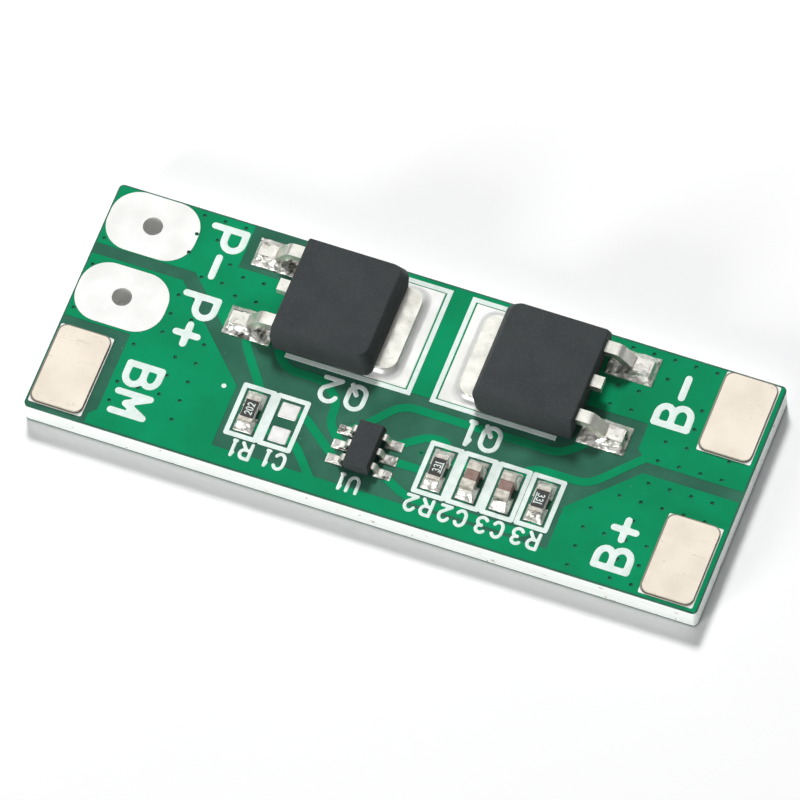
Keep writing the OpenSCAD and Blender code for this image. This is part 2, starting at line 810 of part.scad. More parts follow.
// ---------------------------------------------------------------- bent leads

// Side view of a strip that runs level at high, turns down along a slope and ends level at low.
// start and tip are its ends along X, bend_at is where it first turns down
function arc_points(centre, radius, from, to) = [
    for (i = [0:5])
        let (angle = from + (to - from) * i / 5)
            centre + radius * [sin(angle), cos(angle)]
];
function strip_points(start, bend_at, tip, high, low, thickness, bend, slope) =
    let (
        half = thickness / 2,
        straight = high - low - 2 * bend * (1 - cos(slope)),
        foot_at = bend_at + 2 * bend * sin(slope) + straight / tan(slope),
        upper = [bend_at, high - bend],
        lower = [foot_at, low + bend]
    )
    concat(
        [[start, high + half]],
        arc_points(upper, bend + half, 0, slope),
        arc_points(lower, bend - half, 180 + slope, 180),
        [[tip, low + half], [tip, low - half]],
        arc_points(lower, bend + half, 180, 180 + slope),
        arc_points(upper, bend - half, slope, 0),
        [[start, high - half]]
    );

module strip(start, bend_at, tip, high, low, thickness, width, bend, slope) {
    rotate([90, 0, 0])
        linear_extrude(width, center = true)
            polygon(strip_points(start, bend_at, tip, high, low, thickness, bend, slope));
}

// ---------------------------------------------------------------- power transistors

module fet_lead(side) {
    translate([0, side * lead_pitch / 2, z_seat])
        strip(fet_edge - lead_hidden, fet_edge + lead_flat, lead_tip, lead_level,
            frame_thickness / 2, frame_thickness, lead_width, lead_bend, lead_slope);
}

// The drain tab runs on under the body as the die's base, and its middle lead is cropped short
module fet_drain_tab() {
    translate([0, 0, z_seat]) {
        linear_extrude(frame_thickness) {
            translate([drain_end + drain_corner, -drain_width / 2])
                square([drain_hidden + drain_reach - drain_corner, drain_width]);
            translate([drain_end, -drain_width / 2 + drain_corner])
                square([drain_corner, drain_width - 2 * drain_corner]);
            for (side = [-1, 1])
                translate([drain_end + drain_corner, side * (drain_width / 2 - drain_corner)])
                    circle(r = drain_corner);
        }
        mirror([1, 0, 0])
            strip(-fet_edge - stub_reach, -fet_edge + lead_hidden, fet_edge - drain_hidden + 1,
                lead_level, frame_thickness / 2, frame_thickness, lead_width, lead_bend, lead_slope);
    }
}

module fet_slice(inset_tab, inset_lead, inset_side, level) {
    tab_end = fet_edge - inset_tab;
    lead_end = fet_edge - inset_lead;
    side = fet_body_width / 2 - inset_side;
    translate([0, 0, level])
        linear_extrude(slice) {
            for (y = [-1, 1]) {
                translate([-tab_end + fet_tab_side_corner, y * (side - fet_tab_side_corner)])
                    circle(r = fet_tab_side_corner, $fn = 32);
                translate([lead_end - fet_lead_side_corner, y * (side - fet_lead_side_corner)])
                    circle(r = fet_lead_side_corner, $fn = 16);
            }
        }
}

module fet_body() {
    rim = [fet_tab_draft, fet_lead_draft, fet_side_draft] + fet_rim * [1, 1, 1];
    difference() {
        translate([0, 0, z_seat])
            hull() {
                fet_slice(fet_lower_draft, fet_lower_draft, fet_lower_draft, 0);
                fet_slice(0, 0, 0, lead_level - slice / 2);
                fet_slice(fet_tab_draft, fet_lead_draft, fet_side_draft, fet_body_height - fet_rim);
                fet_slice(rim[0], rim[1], rim[2], fet_body_height - slice);
            }
        fet_drain_tab();
        fet_lead(-1);
        fet_lead(1);
    }
}

// Solder between pad and lead, drawn up the lead's foot
module fet_lead_solder(side) {
    foot = [foot_length + lead_solder_heel, lead_width + 2 * fet_solder_side];
    translate([0, side * lead_pitch / 2, 0])
        difference() {
            union() {
                translate([lead_pad_x, 0, z_mask])
                    linear_extrude(z_seat - z_mask) square(lead_pad, center = true);
                hull() {
                    translate([lead_pad_x, 0, z_seat - slice])
                        linear_extrude(slice)
                            square(lead_pad - 2 * [solder_step, solder_step], center = true);
                    translate([lead_tip - foot[0] / 2, 0, z_seat + fet_fillet - slice])
                        linear_extrude(slice) square(foot, center = true);
                }
            }
            translate([0, -side * lead_pitch / 2, 0]) fet_lead(side);
        }
}

// Solder under the whole drain tab, drawn up its free edge outside the body
module fet_drain_solder() {
    free = drain_reach + drain_pad_border;
    difference() {
        union() {
            translate([drain_pad_x, 0, z_mask])
                linear_extrude(z_seat - z_mask) square(drain_pad, center = true);
            hull() {
                translate([-fet_edge - free / 2, 0, z_seat - slice])
                    linear_extrude(slice)
                        square([free, drain_pad[1]] - [solder_step, 2 * solder_step], center = true);
                translate([-fet_edge - drain_reach / 2, 0, z_seat + fet_fillet - slice])
                    linear_extrude(slice)
                        square([drain_reach - solder_step, drain_width + 2 * fet_solder_side], center = true);
            }
        }
        fet_drain_tab();
    }
}

module q1_body() { color("dimgray") at_fet(q1_x, 0) fet_body(); }
module q1_drain_tab() { color("silver") at_fet(q1_x, 0) fet_drain_tab(); }
module q1_gate_lead() { color("silver") at_fet(q1_x, 0) fet_lead(-1); }
module q1_source_lead() { color("silver") at_fet(q1_x, 0) fet_lead(1); }
module q1_drain_solder() { color("lightgray") at_fet(q1_x, 0) fet_drain_solder(); }
module q1_gate_solder() { color("lightgray") at_fet(q1_x, 0) fet_lead_solder(-1); }
module q1_source_solder() { color("lightgray") at_fet(q1_x, 0) fet_lead_solder(1); }
module q2_body() { color("dimgray") at_fet(q2_x, 180) fet_body(); }
module q2_drain_tab() { color("silver") at_fet(q2_x, 180) fet_drain_tab(); }
module q2_gate_lead() { color("silver") at_fet(q2_x, 180) fet_lead(-1); }
module q2_source_lead() { color("silver") at_fet(q2_x, 180) fet_lead(1); }
module q2_drain_solder() { color("lightgray") at_fet(q2_x, 180) fet_drain_solder(); }
module q2_gate_solder() { color("lightgray") at_fet(q2_x, 180) fet_lead_solder(-1); }
module q2_source_solder() { color("lightgray") at_fet(q2_x, 180) fet_lead_solder(1); }

// ---------------------------------------------------------------- control chip

module at_chip() {
    translate([chip_x, chip_y, z_seat]) children();
}

module chip_lead() {
    edge = chip_body_length / 2;
    strip(edge - chip_lead_hidden, edge + chip_lead_flat, chip_span / 2, chip_lead_level,
        chip_lead_thickness / 2, chip_lead_thickness, chip_lead_width, chip_lead_bend, chip_lead_slope);
}

module chip_leads() {
    for (turn = [0, 180], row = [-1:1])
        translate([0, row * chip_lead_pitch, 0])
            rotate([0, 0, turn]) chip_lead();
}

module chip_slice(inset, level) {
    translate([0, 0, level])
        linear_extrude(slice)
            square([chip_body_length, chip_body_width] - 2 * [inset, inset], center = true);
}

module u1_body() {
    color("dimgray")
        at_chip()
            difference() {
                hull() {
                    chip_slice(chip_draft, chip_standoff);
                    chip_slice(0, chip_lead_level - slice / 2);
                    chip_slice(chip_draft, chip_body_height - slice);
                }
                chip_leads();
            }
}

module u1_leads() {
    color("silver") at_chip() chip_leads();
}

module u1_solder() {
    foot = [chip_foot + 2 * chip_solder_side, chip_lead_width + 2 * chip_solder_side];
    color("lightgray")
        at_chip()
            difference() {
                for (side = [-1, 1], row = [-1:1])
                    translate([0, row * chip_lead_pitch, 0])
                        hull() {
                            translate([side * chip_pad_x, 0, z_mask - z_seat])
                                linear_extrude(z_seat - z_mask) square(chip_pad, center = true);
                            translate([side * (chip_span - chip_foot) / 2, 0, chip_fillet - slice])
                                linear_extrude(slice) square(foot, center = true);
                        }
                chip_leads();
            }
}

// ---------------------------------------------------------------- chip resistors and capacitors

module at_part(x) {
    translate([x, row_y, z_seat]) children();
}

module block(size) {
    translate([-size[0] / 2, -size[1] / 2, 0]) cube(size);
}

module resistor_ceramic() {
    translate([0, 0, terminal_plating])
        block([part_width, part_length, resistor_height] - [0, 2, 2] * terminal_plating);
}

module resistor_glaze() {
    translate([0, 0, resistor_height - terminal_plating])
        block([part_width - 2 * glaze_margin, part_length - 2 * resistor_terminal, glaze_thickness]);
}

// Plating round each end: top, end and underside on a resistor
module resistor_terminals() {
    difference() {
        for (side = [-1, 1])
            translate([0, side * (part_length - resistor_terminal) / 2, 0])
                block([part_width, resistor_terminal, resistor_height]);
        translate([0, 0, terminal_plating])
            block([part_width + cut, part_length - 2 * terminal_plating,
                resistor_height - 2 * terminal_plating]);
    }
}

module capacitor_ceramic() {
    translate([0, 0, terminal_plating])
        block([part_width, part_length, capacitor_height] - 2 * terminal_plating * [1, 1, 1]);
}

// A cap over each end: all five faces on a capacitor
module capacitor_terminals() {
    difference() {
        for (side = [-1, 1])
            translate([0, side * (part_length - capacitor_terminal) / 2, 0])
                block([part_width, capacitor_terminal, capacitor_height]);
        capacitor_ceramic();
    }
}

// Solder on both pads, drawn up the ends of a part of the given height
module part_solder(height) {
    difference() {
        for (side = [-1, 1])
            hull() {
                translate([0, side * part_pad_y, z_mask - z_seat])
                    linear_extrude(z_seat - z_mask) square(part_pad, center = true);
                translate([0, side * (part_length + part_solder_toe) / 2, part_fillet - slice])
                    linear_extrude(slice) square([part_width, part_solder_toe], center = true);
            }
        block([part_width, part_length, height]);
    }
}

module r1_ceramic() { color("ivory") at_part(r1_x) resistor_ceramic(); }
module r1_glaze() { color("black") at_part(r1_x) resistor_glaze(); }
module r1_terminals() { color("silver") at_part(r1_x) resistor_terminals(); }
module r1_solder() { color("lightgray") at_part(r1_x) part_solder(resistor_height); }
module r2_ceramic() { color("ivory") at_part(r2_x) resistor_ceramic(); }
module r2_glaze() { color("black") at_part(r2_x) resistor_glaze(); }
module r2_terminals() { color("silver") at_part(r2_x) resistor_terminals(); }
module r2_solder() { color("lightgray") at_part(r2_x) part_solder(resistor_height); }
module r3_ceramic() { color("ivory") at_part(r3_x) resistor_ceramic(); }
module r3_glaze() { color("black") at_part(r3_x) resistor_glaze(); }
module r3_terminals() { color("silver") at_part(r3_x) resistor_terminals(); }
module r3_solder() { color("lightgray") at_part(r3_x) part_solder(resistor_height); }
module c2_ceramic() { color("rosybrown") at_part(c2_x) capacitor_ceramic(); }
module c2_terminals() { color("silver") at_part(c2_x) capacitor_terminals(); }
module c2_solder() { color("lightgray") at_part(c2_x) part_solder(capacitor_height); }
module c3_ceramic() { color("rosybrown") at_part(c3_x) capacitor_ceramic(); }
module c3_terminals() { color("silver") at_part(c3_x) capacitor_terminals(); }
module c3_solder() { color("lightgray") at_part(c3_x) part_solder(capacitor_height); }

// The place of a second capacitor that is left empty, with its two tinned pads
module c1_bare_pads() {
    color("gainsboro")
        translate([0, 0, z_mask])
            linear_extrude(z_seat - z_mask) part_pads_2d(c1_x);
}

substrate();
top_copper();
underside_copper();
via_barrels();
top_solder_mask();
underside_solder_mask();
legend_outlines();
p_minus_pad();
p_plus_pad();
b_minus_solder();
b_plus_solder();
bm_solder();
b_minus_tab();
b_plus_tab();
bm_tab();
q1_body();
q1_drain_tab();
q1_gate_lead();
q1_source_lead();
q1_drain_solder();
q1_gate_solder();
q1_source_solder();
q2_body();
q2_drain_tab();
q2_gate_lead();
q2_source_lead();
q2_drain_solder();
q2_gate_solder();
q2_source_solder();
u1_body();
u1_leads();
u1_solder();
r1_ceramic();
r1_glaze();
r1_terminals();
r1_solder();
r2_ceramic();
r2_glaze();
r2_terminals();
r2_solder();
r3_ceramic();
r3_glaze();
r3_terminals();
r3_solder();
c2_ceramic();
c2_terminals();
c2_solder();
c3_ceramic();
c3_terminals();
c3_solder();
c1_bare_pads();
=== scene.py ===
# %% [markdown]
# A battery management board, finished for a studio picture
#
# A small pack of two lithium cells carries a narrow circuit board that cuts the output off when a cell is
# too full, too empty or short-circuited. The exact solids of that board come from a CAD model: every layer,
# chip, lead and tab is already there at its real size, in metres, with the origin at the centre of the
# underside. This lesson adds what a CAD model lacks: the finish of each surface, the printed letters, the
# round shoulders of moulded plastic and the way that solder flows. Nothing of the CAD model is moved.

# %% Load the CAD model
import json
import math

import bpy
from mathutils import Matrix, Vector


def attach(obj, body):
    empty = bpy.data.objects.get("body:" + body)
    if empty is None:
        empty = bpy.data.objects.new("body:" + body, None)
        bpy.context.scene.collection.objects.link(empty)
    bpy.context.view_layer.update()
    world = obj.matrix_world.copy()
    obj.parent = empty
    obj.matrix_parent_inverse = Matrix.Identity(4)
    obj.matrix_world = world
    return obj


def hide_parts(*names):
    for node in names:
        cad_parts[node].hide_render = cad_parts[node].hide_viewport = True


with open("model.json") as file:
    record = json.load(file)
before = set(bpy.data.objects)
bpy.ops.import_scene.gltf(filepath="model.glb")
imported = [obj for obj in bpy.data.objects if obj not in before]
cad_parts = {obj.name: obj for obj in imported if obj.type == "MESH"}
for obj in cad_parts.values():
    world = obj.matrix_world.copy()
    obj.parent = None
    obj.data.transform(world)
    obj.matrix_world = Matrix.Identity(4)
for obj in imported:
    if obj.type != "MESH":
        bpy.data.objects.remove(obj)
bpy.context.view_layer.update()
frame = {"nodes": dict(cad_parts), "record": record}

nodes = frame["nodes"]

# %% [markdown]
# The view comes first, because every later choice is judged through it. A long lens far away keeps the
# board's long sides nearly parallel, as catalogue pictures do. The camera could be placed by hand, but a
# direction, a distance and a target say the same thing in numbers that can be read: it looks down from
# the cell end's front corner, and leans a little to its right.

# %% Camera
TARGET = Vector((-0.00016, -0.00031, 0.0016))
VIEW_AZIMUTH = math.radians(26.24)
VIEW_ELEVATION = math.radians(61.6)
VIEW_DISTANCE = 0.579
VIEW_ROLL = math.radians(-6.25)
LENS = 467.4


def view_axes(azimuth, elevation, roll):
    level = Vector((math.cos(azimuth), math.sin(azimuth), 0))
    back = Vector((math.sin(azimuth) * math.cos(elevation),
                   -math.cos(azimuth) * math.cos(elevation),
                   math.sin(elevation)))
    right = level * math.cos(roll) + back.cross(level) * math.sin(roll)
    return right, back.cross(right), back


right, up, back = view_axes(VIEW_AZIMUTH, VIEW_ELEVATION, VIEW_ROLL)
camera_data = bpy.data.cameras.new("camera")
camera_data.lens = LENS
camera_data.clip_start = 0.01
camera_data.clip_end = 10
camera = bpy.data.objects.new("camera", camera_data)
place = Matrix((right, up, back)).transposed().to_4x4()
place.translation = TARGET + back * VIEW_DISTANCE
camera.matrix_world = place
bpy.context.scene.collection.objects.link(camera)
bpy.context.scene.camera = camera
print("camera at", [round(c, 4) for c in place.translation])

# %% [markdown]
# The light is one large softbox, placed where a level surface mirrors it into the lens, so that tin and
# nickel show bright. A smaller key from behind lights all that is matt and draws soft shadows towards the
# front; metal doesn't mirror it, so it makes no glints. A low fill in front lights the board's edge, and a
# grey surround does the rest. Several small lamps would put hard glints on the metal instead. The floor is
# a plain pale sheet; it isn't part of the object, so it is only staged.

# %% Lights, surround and floor
# azimuth and elevation in degrees, distance and width in metres, power in watts
SOFTBOX = (-28, 64, 0.5, 0.6, 1.12)
KEY = (-24, 50, 0.6, 0.12, 3.15)
FILL = (-155, 14, 0.6, 0.2, 2.2)
FLOOR_SIZE = 4
SURROUND = (0.22, 0.223, 0.227, 1)

surround = bpy.data.worlds.new("surround")
surround.use_nodes = True
surround.node_tree.nodes["Background"].inputs["Color"].default_value = SURROUND
bpy.context.scene.world = surround
bpy.context.scene.view_settings.view_transform = "Standard"


def area_light(name, azimuth, elevation, distance, size, power):
    """A square light that faces the board from the given direction."""
    azimuth, elevation = math.radians(azimuth), math.radians(elevation)
    data = bpy.data.lights.new(name, "AREA")
    data.shape = "SQUARE"
    data.size = size
    data.energy = power
    towards = Vector((math.sin(azimuth) * math.cos(elevation),
                      math.cos(azimuth) * math.cos(elevation),
                      math.sin(elevation)))
    light = bpy.data.objects.new(name, data)
    light.location = towards * distance
    light.rotation_euler = towards.to_track_quat("Z", "Y").to_euler()
    bpy.context.scene.collection.objects.link(light)
    return light


area_light("softbox", *SOFTBOX).visible_diffuse = False
area_light("key", *KEY).visible_glossy = False
area_light("fill", *FILL)

bpy.ops.mesh.primitive_plane_add(size=FLOOR_SIZE, location=(0, 0, 0))
floor = bpy.context.active_object
floor.name = "floor"

# %% [markdown]
# Every finish below is a Principled BSDF whose colour, roughness or bump varies over the surface, because
# nothing real is one flat colour. Several effects come back in many finishes: cloudy patches, fine grain
# and thin streaks. Each is built once as a node group with named inputs, so that a change in one place
# changes them all. Patterns are laid out in Object coordinates, which in this frame are the board's own
# coordinates, so one pattern runs on across neighbouring parts.

# %% Helpers for finishes
MM = 0.001
MICRON = 0.000001


def node(tree, kind, **settings):
    made = tree.nodes.new(kind)
    for name, value in settings.items():
        setattr(made, name, value)
    return made


def start_group(name, inputs, outputs):
    group = bpy.data.node_groups.new(name, "ShaderNodeTree")
    for label, kind, value in inputs:
        group.interface.new_socket(label, in_out="INPUT", socket_type=kind).default_value = value
    for label, kind in outputs:
        group.interface.new_socket(label, in_out="OUTPUT", socket_type=kind)
    return group, node(group, "NodeGroupInput"), node(group, "NodeGroupOutput")


def connect(tree, links):
    for outlet, inlet in links:
        tree.links.new(outlet, inlet)


def board_noise(tree, scale_mm, detail, stretch=(1, 1, 1)):
    """Noise on the board's coordinates, in patches of about scale_mm."""
    place = node(tree, "ShaderNodeTexCoord")
    turn = node(tree, "ShaderNodeMapping")
    turn.inputs["Scale"].default_value = [1 / (MM * scale_mm * s) for s in stretch]
    noise = node(tree, "ShaderNodeTexNoise")
    noise.inputs["Scale"].default_value = 1
    noise.inputs["Detail"].default_value = detail
    connect(tree, ((place.outputs["Object"], turn.inputs["Vector"]),
                   (turn.outputs["Vector"], noise.inputs["Vector"])))
    return noise.outputs["Fac"]


def sharpen(tree, value, low, high):
    """Spreads the values between low and high over 0 to 1."""
    spread = node(tree, "ShaderNodeMapRange", interpolation_type="SMOOTHSTEP")
    spread.inputs["From Min"].default_value = low
    spread.inputs["From Max"].default_value = high
    tree.links.new(value, spread.inputs["Value"])
    return spread.outputs["Result"]


def blend(tree, mask, first, second):
    """Colour first where mask is 0, second where it is 1. Each is a colour or a socket."""
    mix = node(tree, "ShaderNodeMix", data_type="RGBA")
    tree.links.new(mask, mix.inputs["Factor"])
    for colour, socket in ((first, mix.inputs["A"]), (second, mix.inputs["B"])):
        if isinstance(colour, bpy.types.NodeSocket):
            tree.links.new(colour, socket)
        else:
            socket.default_value = (*colour, 1)
    return mix.outputs["Result"]


def add_specks(tree, ground, size_mm, detail, low, high, colour):
    """Blends the ground into another colour where a noise of that size lies above low to high."""
    return blend(tree, sharpen(tree, board_noise(tree, size_mm, detail), low, high), ground, colour)


print("helpers ready")

# %% [markdown]
# Cloudy patches: solder mask, tin and nickel are never quite even. The group blends two colours by a soft
# noise. A painted image could do this too, but a node group has no seams and fits every part alike.

# %% Shared effect: cloudy patches
PATCH_SPREAD = (0.3, 0.7)
patches, patches_in, patches_out = start_group(
    "cloudy_patches",
    [("Light", "NodeSocketColor", (1, 1, 1, 1)), ("Dark", "NodeSocketColor", (0, 0, 0, 1)),
     ("Patches per metre", "NodeSocketFloat", 500), ("Detail", "NodeSocketFloat", 3)],
    [("Colour", "NodeSocketColor"), ("Mask", "NodeSocketFloat")])
patch_place = node(patches, "ShaderNodeTexCoord")
patch_noise = node(patches, "ShaderNodeTexNoise")
patch_spread = node(patches, "ShaderNodeMapRange", interpolation_type="SMOOTHSTEP")
patch_spread.inputs["From Min"].default_value, patch_spread.inputs["From Max"].default_value = PATCH_SPREAD
patch_mix = node(patches, "ShaderNodeMix", data_type="RGBA")
connect(patches, ((patch_place.outputs["Object"], patch_noise.inputs["Vector"]),
                  (patches_in.outputs["Patches per metre"], patch_noise.inputs["Scale"]),
                  (patches_in.outputs["Detail"], patch_noise.inputs["Detail"]),
                  (patch_noise.outputs["Fac"], patch_spread.inputs["Value"]),
                  (patch_spread.outputs["Result"], patch_mix.inputs["Factor"]),
                  (patches_in.outputs["Dark"], patch_mix.inputs["A"]),
                  (patches_in.outputs["Light"], patch_mix.inputs["B"]),
                  (patch_mix.outputs["Result"], patches_out.inputs["Colour"]),
                  (patch_spread.outputs["Result"], patches_out.inputs["Mask"])))
print("group", patches.name, "has", len(patches.nodes), "nodes")

# %% [markdown]
# Fine grain: moulded plastic, ink and cast metal scatter light by a texture too fine to model. The group
# gives a height for a Bump node, and each finish sets its own grain size.

# %% Shared effect: fine grain
grain, grain_in, grain_out = start_group(
    "fine_grain",
    [("Grains per metre", "NodeSocketFloat", 10000), ("Detail", "NodeSocketFloat", 2)],
    [("Height", "NodeSocketFloat")])
grain_place = node(grain, "ShaderNodeTexCoord")
grain_noise = node(grain, "ShaderNodeTexNoise")
connect(grain, ((grain_place.outputs["Object"], grain_noise.inputs["Vector"]),
                (grain_in.outputs["Grains per metre"], grain_noise.inputs["Scale"]),
                (grain_in.outputs["Detail"], grain_noise.inputs["Detail"]),
                (grain_noise.outputs["Fac"], grain_out.inputs["Height"])))
print("group", grain.name, "has", len(grain.nodes), "nodes")

# %% [markdown]
# Streaks: solder carries thin dark streaks winding over it, and rolled strip carries faint scratches. A
# noise that is folded at its middle value gives thin winding lines; a second, simpler noise lets them fade
# in places.

# %% Shared effect: streaks
STREAK_DETAIL, STREAK_WAVER = 3, 0.6
STREAK_FADE = (0.4, 0.62)
streaks, streaks_in, streaks_out = start_group(
    "winding_streaks",
    [("Streaks per metre", "NodeSocketFloat", 900), ("Width", "NodeSocketFloat", 0.06),
     ("Stretch", "NodeSocketVector", (1, 1, 1))],
    [("Mask", "NodeSocketFloat")])
streak_place = node(streaks, "ShaderNodeTexCoord")
streak_stretch = node(streaks, "ShaderNodeVectorMath", operation="MULTIPLY")
streak_noise = node(streaks, "ShaderNodeTexNoise")
streak_noise.inputs["Detail"].default_value = STREAK_DETAIL
streak_noise.inputs["Distortion"].default_value = STREAK_WAVER
streak_fold = node(streaks, "ShaderNodeMath", operation="SUBTRACT")
streak_fold.inputs[1].default_value = 0.5
streak_far = node(streaks, "ShaderNodeMath", operation="ABSOLUTE")
streak_line = node(streaks, "ShaderNodeMapRange", interpolation_type="SMOOTHSTEP")
streak_line.inputs["To Min"].default_value = 1
streak_line.inputs["To Max"].default_value = 0
streak_cloud = node(streaks, "ShaderNodeTexNoise")
streak_fade = node(streaks, "ShaderNodeMapRange", interpolation_type="SMOOTHSTEP")
streak_fade.inputs["From Min"].default_value, streak_fade.inputs["From Max"].default_value = STREAK_FADE
streak_both = node(streaks, "ShaderNodeMath", operation="MULTIPLY")
connect(streaks, ((streak_place.outputs["Object"], streak_stretch.inputs[0]),
                  (streaks_in.outputs["Stretch"], streak_stretch.inputs[1]),
                  (streak_stretch.outputs["Vector"], streak_noise.inputs["Vector"]),
                  (streaks_in.outputs["Streaks per metre"], streak_noise.inputs["Scale"]),
                  (streak_place.outputs["Object"], streak_cloud.inputs["Vector"]),
                  (streaks_in.outputs["Streaks per metre"], streak_cloud.inputs["Scale"]),
                  (streak_noise.outputs["Fac"], streak_fold.inputs[0]),
                  (streak_fold.outputs["Value"], streak_far.inputs[0]),
                  (streak_far.outputs["Value"], streak_line.inputs["Value"]),
                  (streaks_in.outputs["Width"], streak_line.inputs["From Max"]),
                  (streak_cloud.outputs["Fac"], streak_fade.inputs["Value"]),
                  (streak_line.outputs["Result"], streak_both.inputs[0]),
                  (streak_fade.outputs["Result"], streak_both.inputs[1]),
                  (streak_both.outputs["Value"], streaks_out.inputs["Mask"])))
print("group", streaks.name, "has", len(streaks.nodes), "nodes")

# %% [markdown]
# The groups are placed in a finish by these small helpers. A finish starts from a plain shader with its
# fixed numbers set on the shader's own sockets; only what varies over the surface is linked.

# %% Placing the effects in a finish
finishes = {}


def start_finish(name, roughness, metallic=0.0, specular=0.5):
    material = bpy.data.materials.new(name)
    material.use_nodes = True
    shader = material.node_tree.nodes["Principled BSDF"]
    shader.inputs["Roughness"].default_value = roughness
    shader.inputs["Metallic"].default_value = metallic
    shader.inputs["Specular IOR Level"].default_value = specular
    finishes[name] = material
    print("finish", name)
    return material.node_tree, shader


def paint(tree, shader, colour):
    tree.links.new(colour, shader.inputs["Base Color"])


def add_patches(tree, light, dark, per_metre, detail=3):
    """Clouds of a light and a dark colour, as a colour and as a mask of the light ones."""
    cloud = node(tree, "ShaderNodeGroup", node_tree=patches)
    cloud.inputs["Light"].default_value = (*light, 1)
    cloud.inputs["Dark"].default_value = (*dark, 1)
    cloud.inputs["Patches per metre"].default_value = per_metre
    cloud.inputs["Detail"].default_value = detail
    return cloud.outputs["Colour"], cloud.outputs["Mask"]


def add_streaks(tree, per_metre, width, stretch):
    streak = node(tree, "ShaderNodeGroup", node_tree=streaks)
    streak.inputs["Streaks per metre"].default_value = per_metre
    streak.inputs["Width"].default_value = width
    streak.inputs["Stretch"].default_value = stretch
    return streak.outputs["Mask"]


def add_bump(tree, shader, per_metre, height, detail=2):
    """Lets fine grain of the given height, in micrometres, feed the shader's normal."""
    texture = node(tree, "ShaderNodeGroup", node_tree=grain)
    texture.inputs["Grains per metre"].default_value = per_metre
    texture.inputs["Detail"].default_value = detail
    bump = node(tree, "ShaderNodeBump")
    bump.inputs["Distance"].default_value = height * MICRON
    connect(tree, ((texture.outputs["Height"], bump.inputs["Height"]),
                   (bump.outputs["Normal"], shader.inputs["Normal"])))


def vary_roughness(tree, shader, mask, smooth, rough):
    spread = node(tree, "ShaderNodeMapRange")
    spread.inputs["To Min"].default_value = smooth
    spread.inputs["To Max"].default_value = rough
    connect(tree, ((mask, spread.inputs["Value"]), (spread.outputs["Result"], shader.inputs["Roughness"])))


def board_height(tree, low, high):
    """A mask that goes from 0 at height low to 1 at height high above the board's underside."""
    place = node(tree, "ShaderNodeTexCoord")
    parts = node(tree, "ShaderNodeSeparateXYZ")
    spread = node(tree, "ShaderNodeMapRange")
    spread.inputs["From Min"].default_value = low
    spread.inputs["From Max"].default_value = high
    connect(tree, ((place.outputs["Object"], parts.inputs["Vector"]),
                   (parts.outputs["Z"], spread.inputs["Value"])))
    return spread.outputs["Result"]


# %% [markdown]
# Solder mask is a green lacquer over everything but the pads. Over copper it looks bright and warm; over
# bare laminate it is thinner to the eye, duller and greyer, and lies a little lower. That step is in the
# CAD solids, so the finish can tell the two apart by height alone. The alternative, cutting the mask into
# two pieces, would leave a seam. A few grains of dust have dried into it.

# %% Finish: solder mask
MASK_TOP, MASK_BARE_TOP = 0.0016, 0.001585
HALF_STEP = (MASK_TOP - MASK_BARE_TOP) / 2

tree, shader = start_finish("solder_mask", 0.5, specular=0.1)
over_copper, cloudy = add_patches(tree, (0.001, 0.290, 0.118), (0.001, 0.235, 0.092), 330, 4)
over_bare = add_patches(tree, (0.040, 0.160, 0.105), (0.026, 0.118, 0.074), 420, 4)[0]
upper = board_height(tree, MASK_BARE_TOP + HALF_STEP - MICRON, MASK_BARE_TOP + HALF_STEP + MICRON)
under = board_height(tree, HALF_STEP + MICRON, HALF_STEP - MICRON)
copper_mask = node(tree, "ShaderNodeMath", operation="MAXIMUM")
connect(tree, ((upper, copper_mask.inputs[0]), (under, copper_mask.inputs[1])))
lacquer = blend(tree, copper_mask.outputs["Value"], over_bare, over_copper)
paint(tree, shader, add_specks(tree, lacquer, 0.16, 2, 0.765, 0.80, (0.30, 0.52, 0.42)))
vary_roughness(tree, shader, cloudy, 0.42, 0.55)
add_bump(tree, shader, 2500, 4)
print("copper tone above", round(MASK_BARE_TOP + HALF_STEP, 7), "m")

# %% [markdown]
# The laminate shows only at the routed rim: pale, slightly green epoxy with the layers of glass cloth as
# faint lines along it. Noise stretched along the board gives those lines. The router has left specks of
# burnt resin here and there.

# %% Finish: laminate
tree, shader = start_finish("laminate", 0.6, specular=0.3)
cloth = sharpen(tree, board_noise(tree, 0.09, 3, (30, 30, 1)), 0.35, 0.65)
epoxy = blend(tree, cloth, (0.86, 0.90, 0.86), (0.94, 0.97, 0.94))
paint(tree, shader, add_specks(tree, epoxy, 0.55, 4, 0.66, 0.74, (0.50, 0.44, 0.38)))
add_bump(tree, shader, 9000, 10)

# %% [markdown]
# Copper is seen only inside the plated holes, where the green lacquer has run in. Its dark green there is
# partly the lacquer and partly painted shade deep in the hole.

# %% Finish: copper
tree, shader = start_finish("copper", 0.4, specular=0.4)
# Painted shade: the lacquer's green is kept darker than the mask's.
lacquer_and_shade, cloudy = add_patches(tree, (0.02, 0.22, 0.12), (0.005, 0.12, 0.06), 3000)
paint(tree, shader, lacquer_and_shade)
vary_roughness(tree, shader, cloudy, 0.35, 0.55)

# %% [markdown]
# White legend ink is screen-printed: thick and matt, with a slightly uneven film that lets a little of the
# green through.

# %% Finish: legend
tree, shader = start_finish("legend", 0.55, specular=0.3)
paint(tree, shader, add_patches(tree, (0.84, 0.93, 0.89), (0.74, 0.85, 0.80), 2200)[0])
add_bump(tree, shader, 12000, 4)

# %% [markdown]
# Hot-air levelled tin on the bare pads: bright, almost white in a softbox, with a few dull specks.

# %% Finish: tinned pad
tree, shader = start_finish("tinned_pad", 0.38, metallic=0.5, specular=0.3)
tin, cloudy = add_patches(tree, (0.91, 0.915, 0.89), (0.85, 0.85, 0.82), 600, 4)
paint(tree, shader, add_specks(tree, tin, 0.09, 2, 0.70, 0.78, (0.60, 0.58, 0.53)))
vary_roughness(tree, shader, cloudy, 0.42, 0.3)
add_bump(tree, shader, 700, 10)
